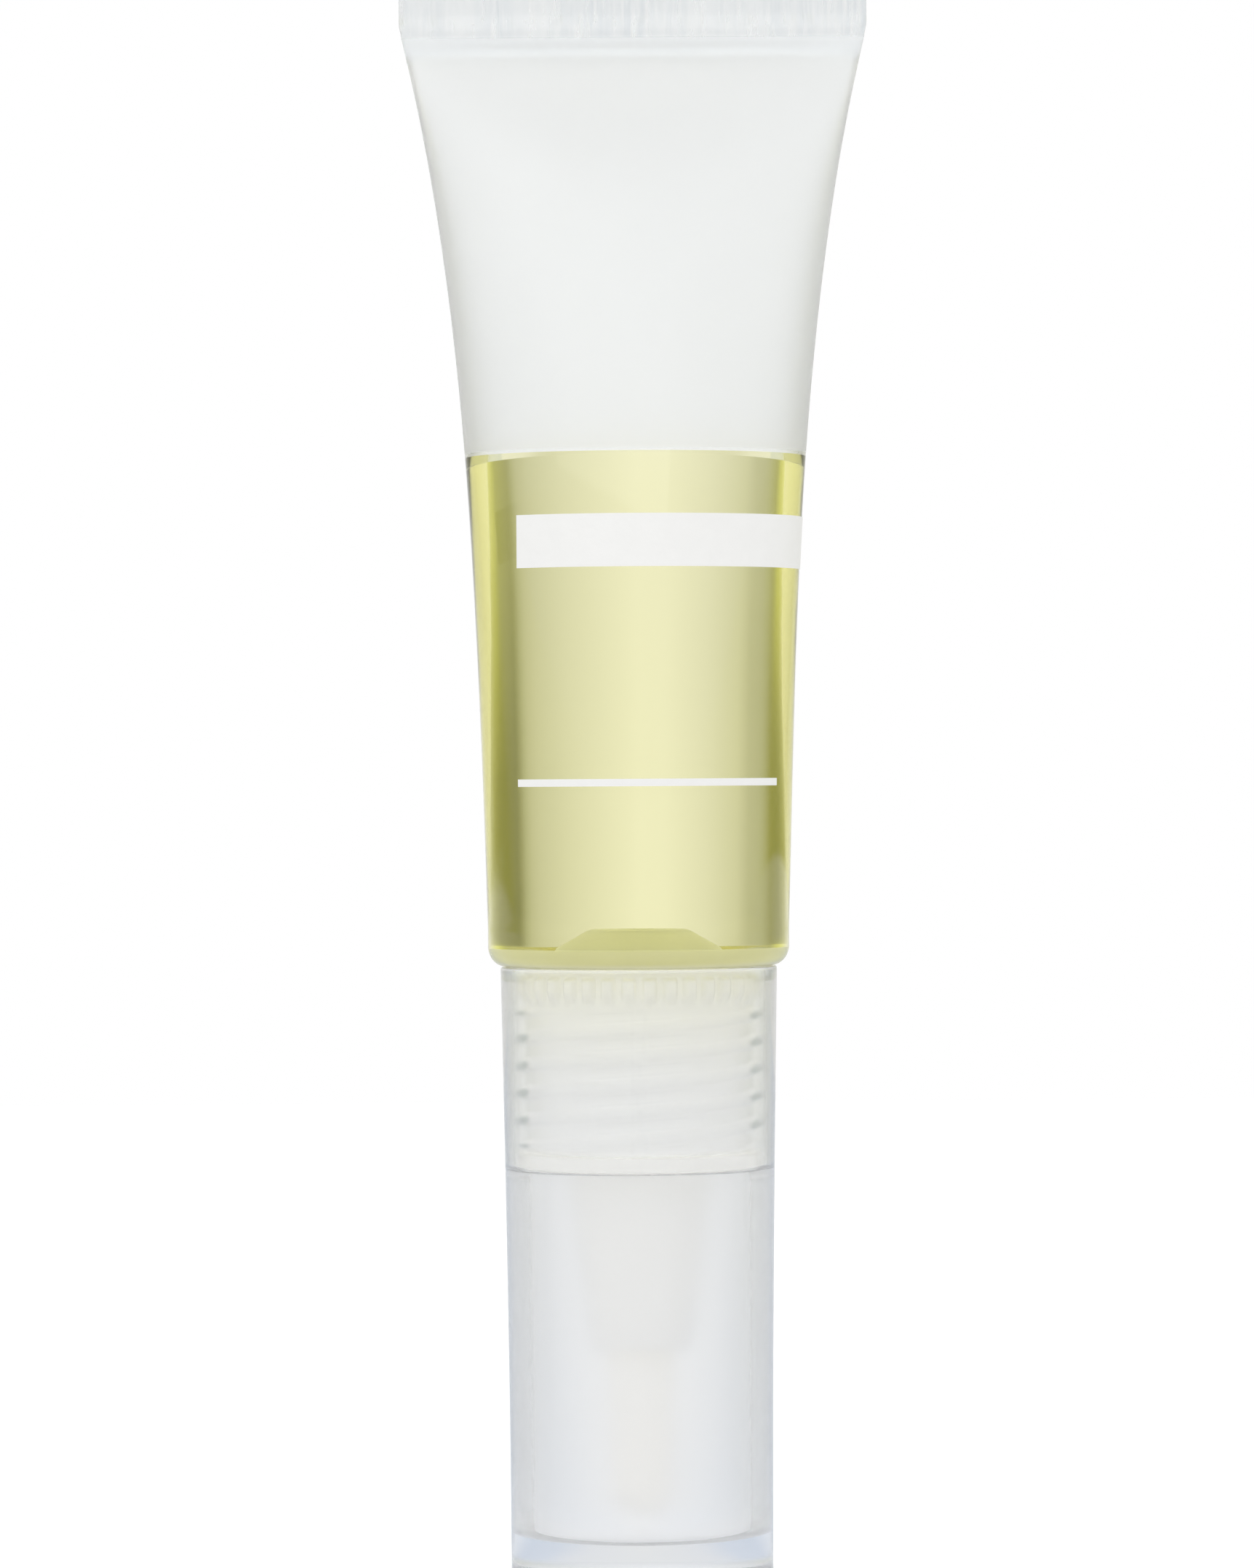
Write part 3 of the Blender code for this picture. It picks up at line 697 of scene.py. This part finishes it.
def make_tube_shell():
    """Outer face from the crimp down to the neck's end, then the inner face back up to the seal."""
    closing = crimp_foot - CLOSING_LENGTH
    outer = []
    for height in (spaced(CRIMP_TOP, crimp_foot, CRIMP_STEP)
                   + spaced(crimp_foot, closing, FLARE_STEP)[1:]
                   + spaced(closing, CORNER_TOP, WALL_STEP)[1:]):
        ring = sleeve_ring(*sleeve_half_size(height), sleeve_squareness(height), height)
        outer.append(crimp_pressed(ring, height))
    outer += circles(arc(TUBE_RADIUS - CORNER_REACH, CORNER_TOP, CORNER_REACH, CORNER_TOP - SHOULDER,
                         0, -90, 16)[1:])
    for radius in spaced(TUBE_RADIUS - CORNER_REACH, NECK_RADIUS, 0.0005)[1:]:
        outer.append(circle(radius, SHOULDER))
    for height in spaced(SHOULDER, NECK_END + 0.0003, NECK_STEP)[1:]:
        outer.append(circle(neck_radius(height), height))
    outer += circles([(NECK_RADIUS - 0.0002, NECK_END + 0.00005), (NECK_RADIUS - 0.0004, NECK_END)])

    inner = circles([(NECK_BORE, NECK_END), (NECK_BORE, NECK_END + 0.0003)])
    for height in spaced(NECK_END + 0.0003, INNER_FLOOR - BEVEL, 0.002)[1:]:
        inner.append(circle(NECK_BORE, height))
    inner.append(circle(NECK_BORE + BEVEL, INNER_FLOOR))
    flat_end = TUBE_RADIUS - SLEEVE_WALL - FLOOR_FILLET
    for radius in spaced(NECK_BORE + BEVEL, flat_end, 0.0005)[1:]:
        inner.append(circle(radius, INNER_FLOOR))
    inner += circles(arc(flat_end, INNER_FLOOR + FLOOR_FILLET, FLOOR_FILLET, FLOOR_FILLET,
                         -90, 0, 6)[1:])
    for height in (spaced(WETTED_FROM, OIL_LEVEL, WALL_STEP) + spaced(OIL_LEVEL, closing, WALL_STEP)[1:]
                   + spaced(closing, seal_line, SEAL_STEP)[1:]):
        inner.append(sleeve_ring(*sleeve_half_inside(height), sleeve_squareness(height), height))
    rings = [ring[::-1] for ring in outer + inner]

    def finish_of(row):
        height = (rings[row][0][2] + rings[row + 1][0][2]) / 2
        inside = row >= len(outer)
        if height > crimp_foot and not inside:
            return crimp_pressed_finish
        if height < INNER_FLOOR + 0.00005:
            return head_wet if inside and height > INNER_FLOOR - 0.00005 else head_outside
        if not inside:
            return sleeve_outside
        return sleeve_dry if height > OIL_LEVEL else sleeve_wet

    shell = closed_skin("tube_shell", rings, sleeve_outside, sharp_deg=50, finish_of=finish_of)
    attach(shell, "tube")
    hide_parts("tube_sleeve", "tube_head")


def make_oil():
    """Body of oil, a hair's breadth inside the wall that it wets, and its surface."""
    floor = INNER_FLOOR + OIL_INSET
    cone_z = reducer_high.z + OIL_INSET
    side = TUBE_RADIUS - SLEEVE_WALL - OIL_INSET
    rings = circles([(PLUG_CONE_TOP * share, cone_z) for share in (0.25, 0.6, 1.0)])
    rings += circles([(PLUG_CONE_BASE, floor + 0.00002), (PLUG_CONE_BASE + 0.0006, floor)])
    rings += circles([(radius, floor) for radius in
                      spaced(PLUG_CONE_BASE + 0.0011, side - FLOOR_FILLET, 0.0005)])
    rings += circles(arc(side - FLOOR_FILLET, floor + FLOOR_FILLET, FLOOR_FILLET, FLOOR_FILLET,
                         -75, 0, 5))

    def at_wall(height):
        half_width, half_depth = sleeve_half_inside(height)
        return sleeve_ring(half_width - OIL_INSET, half_depth - OIL_INSET, 2, height)

    inward = (0.9, 0.7, 0.45, 0.2)
    top = OIL_LEVEL - OIL_INSET
    rings += [at_wall(height) for height in spaced(WETTED_FROM, top, WALL_STEP)]
    last = rings[-1]
    rings += [[(x * share, y * share, top) for x, y, _ in last] for share in inward]
    oil = closed_skin("oil_fill", rings, cuticle_oil, sharp_deg=60)
    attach(oil, "tube")
    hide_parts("oil")

    rim = at_wall(OIL_LEVEL)
    sheet = [(x * share, y * share, OIL_LEVEL) for share in (1.0, *inward) for x, y, _ in rim]
    spans = len(inward)
    faces = [(row * ROUND + index, row * ROUND + (index + 1) % ROUND,
              (row + 1) * ROUND + (index + 1) % ROUND, (row + 1) * ROUND + index)
             for row in range(spans) for index in range(ROUND)]
    faces.append(tuple(spans * ROUND + index for index in range(ROUND)))
    surface = link("oil_level", sheet, faces, oil_surface)
    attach(surface, "tube")


def cap_side(height):
    """Outer radius of the cap."""
    return CAP_FOOT + CAP_TAPER * min(height / cap_high.z, 1.0) ** CAP_TAPER_POWER


def make_cap():
    """Clear screw cap with its inner thread, ledge, rounded bore end and dimpled base."""
    gate_edge, gate_rise = GATE_RADIUS + GATE_DEPTH, 0.00004
    rings = circles([(GATE_RADIUS * 0.3, GATE_DEPTH), (GATE_RADIUS * 0.8, GATE_DEPTH),
                     (GATE_RADIUS, GATE_DEPTH - gate_rise), (gate_edge - gate_rise, gate_rise),
                     (gate_edge + 0.00002, 0)])
    flat_end = CAP_FOOT - CAP_BASE_ROUND - 0.0003
    rings += circles([(radius, 0) for radius in spaced(0.0020, flat_end, 0.001)])
    rings += circles(arc(CAP_FOOT - CAP_BASE_ROUND, CAP_BASE_ROUND, CAP_BASE_ROUND, CAP_BASE_ROUND,
                         -90, 0, 10))
    top = cap_high.z + CAP_SEAT - CAP_RIM_ROUND
    rings += circles([(cap_side(height), height) for height in
                      spaced(CAP_BASE_ROUND + 0.001, top - 0.001, 0.001)])
    for centre, start_deg in ((cap_side(top) - CAP_RIM_ROUND, 0), (THREAD_BORE + CAP_RIM_ROUND, 90)):
        rings += circles(arc(centre, top, CAP_RIM_ROUND, CAP_RIM_ROUND, start_deg, start_deg + 90, 5))
    for height in spaced(top - 0.0003, LEDGE + 0.0003, BORE_STEP):
        rings.append(circle(bore_radius(height), height))
    rings += circles([(THREAD_BORE - 0.00008, LEDGE + 0.00008), (THREAD_BORE - 0.0003, LEDGE)])
    low_bore = CAP_FOOT - CAP_WALL
    rings += circles(arc(low_bore + CAP_DRAFT + LEDGE_ROUND, LEDGE - LEDGE_ROUND, LEDGE_ROUND,
                         LEDGE_ROUND, 90, 180, 8))
    fillet_z = CAP_FLOOR + CAP_FLOOR_FILLET
    for height in spaced(LEDGE - 0.001, fillet_z + 0.0005, 0.0015):
        share = (height - fillet_z) / (LEDGE - fillet_z)
        rings.append(circle(low_bore + CAP_DRAFT * share, height))
    rings += circles(arc(low_bore - CAP_FLOOR_FILLET, fillet_z, CAP_FLOOR_FILLET, CAP_FLOOR_FILLET,
                         0, -90, 10))
    rings += circles([(radius, CAP_FLOOR) for radius in spaced(0.0050, 0.0005, 0.001)])
    cap = closed_skin("screw_cap", rings, cap_clear, sharp_deg=50)
    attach(cap, "cap")
    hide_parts("cap")


def make_holder():
    """Brush holder: stem, stepped root, tapered nozzle and funnel bore."""
    stem, stem_bore = holder_high.x, holder_high.x - STEM_WALL
    tip, top = holder_low.z, holder_high.z
    root_z = NECK_END + STEP_HEIGHT
    outline = [(TUFT_BORE + BEVEL, tip)]
    outline += arc(NOZZLE_TIP - 0.0002, tip + 0.0002, 0.0002, 0.0002, -90, 0, 5)
    outline += [(NOZZLE_TIP + (HOLDER_ROOT - NOZZLE_TIP) * share, tip + (NECK_END - tip) * share)
                for share in (0.05, 0.25, 0.5, 0.75, 0.97)]
    outline += [(HOLDER_ROOT, NECK_END + BEVEL), (HOLDER_ROOT, root_z), (stem - BEVEL, root_z + 0.00085),
                (stem, root_z + 0.00095)]
    outline += [(stem, height) for height in spaced(root_z + 0.002, top - 0.0003, 0.002)]
    outline += [(stem - BEVEL, top), (stem_bore + BEVEL, top), (stem_bore, top - 0.0002)]
    outline += [(stem_bore, height) for height in spaced(top - 0.002, root_z + 0.0018, 0.002)]
    outline += [(stem_bore - 0.00004, root_z + 0.00125), (TUFT_BORE + BEVEL, TUFT_BORE_END + 0.0002),
                (TUFT_BORE, TUFT_BORE_END)]
    outline += [(TUFT_BORE, height) for height in spaced(TUFT_BORE_END - 0.0013, tip + 0.0006, 0.002)]
    outline += [(TUFT_BORE, tip + 0.0002)]
    holder = turned("brush_nozzle", outline, frosted)
    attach(holder, "tube")
    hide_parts("brush_holder")


def make_reducer():
    """Orifice plug with its low cone, on top of the stem."""
    low, high = reducer_low.z, reducer_high.z
    disc_z = INNER_FLOOR - PLUG_DISC_THICKNESS
    outline = [(ORIFICE, low + BEVEL), (ORIFICE + BEVEL, low), (PLUG_SPIGOT - BEVEL, low),
               (PLUG_SPIGOT, low + BEVEL), (PLUG_SPIGOT, disc_z - 0.00002),
               (PLUG_DISC - FINE_BEVEL, disc_z), (PLUG_DISC, disc_z + BEVEL),
               (PLUG_DISC, INNER_FLOOR - FINE_BEVEL),
               (PLUG_DISC - FINE_BEVEL, INNER_FLOOR), (PLUG_CONE_BASE, INNER_FLOOR),
               (PLUG_CONE_TOP + BEVEL, high - 0.00006), (PLUG_CONE_TOP - BEVEL, high),
               (ORIFICE + BEVEL, high), (ORIFICE, high - BEVEL)]
    plug = turned("orifice_plug", outline, frosted_oily)
    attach(plug, "tube")
    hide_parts("flow_reducer")


def make_washer():
    """Soft sealing ring with rounded edges."""
    near, far = WASHER_BORE + WASHER_ROUND, washer_high.x - WASHER_ROUND
    low, high = LEDGE + WASHER_SEAT + WASHER_ROUND, NECK_END - WASHER_SEAT - WASHER_ROUND
    outline = []
    corners = (far, low, -90), (far, high, 0), (near, high, 90), (near, low, 180)
    for radius, height, start_deg in corners:
        outline += arc(radius, height, WASHER_ROUND, WASHER_ROUND, start_deg, start_deg + 90, 4)
    washer = turned("soft_washer", outline, washer_soft)
    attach(washer, "seal")
    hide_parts("sealing_washer")


def make_feed_tube():
    """Fine tube in the root of the tuft."""
    flange = feed_high.x
    low, high = feed_low.z, feed_high.z
    start, end = tuft_high.z + FIT_GAP, tuft_high.z + FIT_GAP + PIPE_FLANGE
    outline = [(PIPE_BORE, low + FINE_BEVEL), (PIPE_BORE + FINE_BEVEL, low),
               (PIPE_RADIUS - FINE_BEVEL, low), (PIPE_RADIUS, low + FINE_BEVEL),
               (PIPE_RADIUS, start - 0.00002),
               (PIPE_RADIUS + FINE_BEVEL, start), (flange - FLANGE_BEVEL, start),
               (flange, start + FLANGE_BEVEL), (flange, end - FLANGE_BEVEL),
               (flange - FLANGE_BEVEL, end),
               (PIPE_RADIUS + FINE_BEVEL, end), (PIPE_RADIUS, end + 0.00006),
               (PIPE_RADIUS, high - FINE_BEVEL), (PIPE_RADIUS - FINE_BEVEL, high),
               (PIPE_BORE + FINE_BEVEL, high), (PIPE_BORE, high - FINE_BEVEL)]
    pipe = turned("feed_pipe", outline, feed_soft, 48)
    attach(pipe, "tube")
    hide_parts("feed_tube")


def make_tuft():
    """Tuft of fine hairs, each its own tapered strand, set in a thin root disc."""
    rng = random.Random(7)
    root_radius = tuft_high.x - HAIR_EDGE_GAP
    root_z, tip_z = tuft_high.z - ROOT_DISC, tuft_low.z
    vertices, faces = [], []
    for hair in range(HAIRS):
        share = (hair + 0.5) / HAIRS
        reach = math.sqrt(TUFT_CORE ** 2 + (root_radius ** 2 - TUFT_CORE ** 2) * share)
        turn = hair * math.pi * (3 - math.sqrt(5)) + rng.uniform(-0.05, 0.05)
        start = Vector((reach * math.cos(turn), reach * math.sin(turn), root_z + 0.0001))
        dome = 0.0011 * (reach / root_radius) ** 2
        draw = 0.93 - 0.05 * (reach / root_radius) ** 2 + rng.uniform(-0.03, 0.03)
        sway = Vector((rng.uniform(-1, 1), rng.uniform(-1, 1), 0)) * 0.00010
        end = Vector((start.x * draw, start.y * draw, tip_z + dome + rng.uniform(0, 0.0005)))
        thick = rng.uniform(0.000045, 0.000062)
        first = len(vertices)
        for span in range(HAIR_SPANS + 1):
            along = span / HAIR_SPANS
            middle = start.lerp(end, along) + sway * math.sin(math.pi * along)
            radius = thick * (1 - 0.55 * smooth((along - 0.7) / 0.3))
            for side in range(HAIR_SIDES):
                angle = math.tau * side / HAIR_SIDES + hair
                vertices.append((middle.x + radius * math.cos(angle),
                                 middle.y + radius * math.sin(angle), middle.z))
        for span in range(HAIR_SPANS):
            low = first + span * HAIR_SIDES
            high = low + HAIR_SIDES
            for side in range(HAIR_SIDES):
                after = (side + 1) % HAIR_SIDES
                faces.append((low + after, low + side, high + side, high + after))
        last = first + HAIR_SPANS * HAIR_SIDES
        faces.append(tuple(first + side for side in range(HAIR_SIDES)))
        faces.append(tuple(last + side for side in reversed(range(HAIR_SIDES))))
    tuft = link("brush_hairs", vertices, faces, nylon)
    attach(tuft, "tube")
    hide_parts("bristles")

    disc, hole, top = tuft_high.x, 0.0007, tuft_high.z
    outline = [(hole, root_z + BEVEL), (hole + BEVEL, root_z), (disc - BEVEL, root_z),
               (disc, root_z + BEVEL), (disc, top - BEVEL), (disc - BEVEL, top), (hole + BEVEL, top),
               (hole, top - BEVEL)]
    root = turned("brush_root", outline, feed_soft, 64)
    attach(root, "tube")


def printed_film(name, heights, end_deg):
    """Thin film of ink on the sleeve's front, from its left round to an angle on its right."""
    columns, rows = 120, 10
    outer, under = [], []
    for row in range(rows + 1):
        height = heights[0] + (heights[1] - heights[0]) * row / rows
        half_width, half_depth = sleeve_half_size(height)
        start_angle = -math.pi / 2 + math.asin(PRINT_LEFT / half_width)
        end_angle = -math.pi / 2 + math.radians(end_deg)
        for column in range(columns + 1):
            angle = start_angle + (end_angle - start_angle) * column / columns
            flat = [(half_width * math.cos(angle), half_depth * math.sin(angle), height)]
            (x, y, _), = uneven(flat, height)
            reach = math.hypot(x, y)
            for points, off in ((outer, INK_LIFT + INK_THICKNESS), (under, INK_LIFT)):
                points.append((x * (1 + off / reach), y * (1 + off / reach), height))
    below, wide = len(outer), columns + 1
    faces = []
    for row in range(rows):
        for column in range(columns):
            a = row * wide + column
            faces.append((a, a + 1, a + 1 + wide, a + wide))
            faces.append((below + a + wide, below + a + 1 + wide, below + a + 1, below + a))
    for row in range(rows):
        a, b = row * wide, row * wide + columns
        faces.append((a, a + wide, below + a + wide, below + a))
        faces.append((b + wide, b, below + b, below + b + wide))
    for column in range(columns):
        a, b = column, rows * wide + column
        faces.append((a + 1, a, below + a, below + a + 1))
        faces.append((b, b + 1, below + b + 1, below + b))
    film = link(name, outer + under, faces, white_ink, 30)
    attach(film, "tube")


make_tube_shell()
make_oil()
make_cap()
make_holder()
make_reducer()
make_washer()
make_feed_tube()
make_tuft()
printed_film("print_band", BAND_HEIGHTS, BAND_END)
printed_film("print_rule", RULE_HEIGHTS, RULE_END)


# Studio

def level_ramp(tree, turn, levels):
    """Brightness round the tube; levels are (degrees from straight behind, brightness, blue share)."""
    ramp = add(tree, "ValToRGB", {"Fac": turn})
    stops = ramp.color_ramp.elements
    while len(stops) < len(levels):
        stops.new(0.5)
    for stop, (degrees, bright, blue) in zip(stops, sorted(levels)):
        stop.position = 0.5 + degrees / 360
        stop.color = (bright, bright * (1 + 0.4 * max(blue - 1, 0)), bright * blue, 1)
    return ramp.outputs["Color"]


def both_sides(levels):
    """Levels for one side, with the same for the other."""
    return [(-degrees, *rest) for degrees, *rest in levels if degrees] + list(levels)


def turn_of(tree, vector):
    """Turn about Z: 0.5 is straight behind the tube, 0.75 is square to its right."""
    split = add(tree, "SeparateXYZ", {"Vector": vector})
    turn = both_of(tree, split.outputs["X"], split.outputs["Y"], "ARCTAN2")
    return ranged(tree, turn, -math.pi, math.pi)


def seen_in_glass(tree):
    """1 for rays that a glossy or clear surface sends on from the camera, and not for lighting."""
    path = add(tree, "LightPath")
    glassy = both_of(tree, path.outputs["Is Glossy Ray"], path.outputs["Is Transmission Ray"], "MAXIMUM")
    return path, glassy, ranged(tree, path.outputs["Diffuse Depth"], 0, 1, 1, 0)


SOFT_LEVELS = both_sides([
    (0, 0.84, 1), (20, 0.87, 1), (60, 1, 1), (120, 1, 1), (160, 0.89, 1), (180, 0.86, 1)])
LOW_LEVELS = [
    (-180, 1, 1), (-100, 1, 1), (-80, 0.85, 0.85), (-66, 0.31, 0.14), (-58, 0.20, 0.03),
    (-53, 0.19, 0.05), (-47, 0.23, 0.14), (-42.4, 0.36, 0.50), (-38.5, 0.43, 0.65),
    (-32, 0.50, 0.72), (-27, 0.655, 0.80), (-16, 0.82, 0.95), (-6, 0.95, 1), (0, 0.96, 1),
    (6, 0.89, 0.97), (16, 0.765, 0.90), (27, 0.61, 0.78), (31, 0.52, 0.70), (33.5, 0.41, 0.58),
    (36, 0.25, 0.33), (38, 0.18, 0.17), (50, 0.19, 0.10), (55, 0.21, 0.06), (60, 0.25, 0.07),
    (66, 0.34, 0.22), (80, 0.85, 0.85), (100, 1, 1), (180, 1, 1)]
HIGH_LEVELS = [
    (-180, 1, 1), (-75, 0.95, 0.80), (-60, 0.84, 0.18), (-53, 0.66, 0.08), (-47, 0.36, 0.24),
    (-42.4, 0.42, 0.50), (-38.5, 0.48, 0.70), (-32, 0.58, 0.80), (-27, 0.67, 0.85),
    (-16, 0.85, 0.98), (-6, 0.96, 1), (0, 0.965, 1), (6, 0.92, 0.98), (16, 0.773, 0.90),
    (27, 0.62, 0.78), (32, 0.57, 0.72), (34, 0.50, 0.60), (36, 0.47, 0.46), (38.5, 0.49, 0.42),
    (47, 0.44, 0.17), (53, 0.68, 0.08), (60, 0.86, 0.20), (75, 0.95, 0.80), (180, 1, 1)]
# Painted shade of the floor as glass and gloss see it, by degrees round the tube
FLOOR_PAINTED_SHADE_LEVELS = both_sides([
    (0, 0.83, 0.98), (7, 0.79, 1.02), (14, 0.67, 1.17), (27, 0.62, 1.23), (45, 0.79, 1.10),
    (90, 0.77, 1.06), (180, 0.72, 1.03)])


def make_world():
    """White studio; glass and gloss also see its softly shaded sides at eye level."""
    world = bpy.data.worlds.new("studio")
    scene.world = world
    world.use_nodes = True
    tree = world.node_tree
    tree.nodes.clear()
    direction = add(tree, "TexCoord").outputs["Generated"]
    turn = turn_of(tree, direction)
    away = both_of(tree, by_height(tree, direction, 0.050, 0.058),
                   by_height(tree, direction, -0.060, -0.075), "MAXIMUM")
    eye_level = blended(tree, by_height(tree, direction, -0.01, 0.03),
                        level_ramp(tree, turn, LOW_LEVELS), level_ramp(tree, turn, HIGH_LEVELS))
    shade = blended(tree, away, eye_level, level_ramp(tree, turn, SOFT_LEVELS))
    grey = blended(tree, away, (0.85, 0.85, 0.85), (0.97, 0.97, 0.97))
    mirrored = blended(tree, by_height(tree, direction, -0.030, -0.026), grey, shade)
    white = (1, 1, 1, 1)
    path, _, direct = seen_in_glass(tree)
    shader = add(tree, "Background", {"Color": white}).outputs["Background"]
    for ray, colour in (("Is Glossy Ray", mirrored), ("Is Transmission Ray", shade),
                        ("Is Camera Ray", white)):
        backdrop = add(tree, "Background", {"Color": colour}).outputs["Background"]
        shader = add(tree, "MixShader", {"Fac": both_of(tree, path.outputs[ray], direct), 1: shader,
                                         2: backdrop}).outputs["Shader"]
    add(tree, "OutputWorld", {"Surface": shader})


def make_floor():
    """Plain white floor that keeps the tube's soft shadow; to glass and gloss it is a painted glow
    without that shadow, shaded darker and bluer by its turn round the tube.
    """
    half = 0.6
    mesh = bpy.data.meshes.new("floor")
    corners = [(-half, -half, 0), (half, -half, 0), (half, half, 0), (-half, half, 0)]
    mesh.from_pydata(corners, [], [(0, 1, 2, 3)])
    floor = bpy.data.objects.new("floor", mesh)
    scene.collection.objects.link(floor)
    paint, tree, place = new_finish("floor_white")
    grain = noise_node(tree, place, 40)
    diffuse = add(tree, "BsdfDiffuse", {"Color": ranged(tree, grain, 0, 1, 0.71, 0.73)})
    path, glassy, direct = seen_in_glass(tree)
    seen = path.outputs["Is Camera Ray"]
    glow = add(tree, "Emission", {"Strength": ranged(tree, seen, 0, 1, 0, 0.28)})
    lit = add(tree, "AddShader", {0: diffuse.outputs["BSDF"], 1: glow.outputs["Emission"]})
    # Painted glow in place of the lit floor, for rays that glass and gloss send on
    painted_glow_in_glass = add(tree, "Emission", {"Color": level_ramp(tree, turn_of(tree, place), FLOOR_PAINTED_SHADE_LEVELS)})
    mix = add(tree, "MixShader", {"Fac": both_of(tree, glassy, direct), 1: lit.outputs["Shader"],
                                  2: painted_glow_in_glass.outputs["Emission"]})
    add(tree, "OutputMaterial", {"Surface": mix.outputs["Shader"]})
    mesh.materials.append(paint)


def make_lamp(name, place, size, power, aim):
    """Soft square lamp."""
    data = bpy.data.lights.new(name, "AREA")
    data.shape = "RECTANGLE"
    data.size, data.size_y = size
    data.energy = power
    lamp = bpy.data.objects.new(name, data)
    scene.collection.objects.link(lamp)
    lamp.location = place
    lamp.rotation_euler = (Vector(aim) - Vector(place)).to_track_quat("-Z", "Y").to_euler()


def make_camera():
    """Level camera at the photograph's height, distance and small lean."""
    photo_height_px, scale_px_per_m = 2156, 21790
    centre_px, axis_px = 862, 876.5
    lean = math.radians(0.37)
    distance = 0.40
    data = bpy.data.cameras.new("camera")
    data.sensor_fit = "VERTICAL"
    data.sensor_height = 24
    data.lens = data.sensor_height * distance / (photo_height_px / scale_px_per_m)
    camera = bpy.data.objects.new("camera", data)
    scene.collection.objects.link(camera)
    camera.location = (-(axis_px - centre_px) / scale_px_per_m, -distance, 0.05025)
    camera.rotation_euler = (math.radians(90), lean, 0)
    scene.camera = camera


make_world()
make_floor()
make_lamp("overhead", (0, 0.15, 0.65), (0.8, 0.6), 0.75, (0, 0, 0.05))
# Low enough in height that clear plastic seen from behind doesn't show it
make_lamp("front", (-0.20, -0.85, 0.50), (1.2, 0.56), 1.12, (0, 0, 0.05))
make_camera()
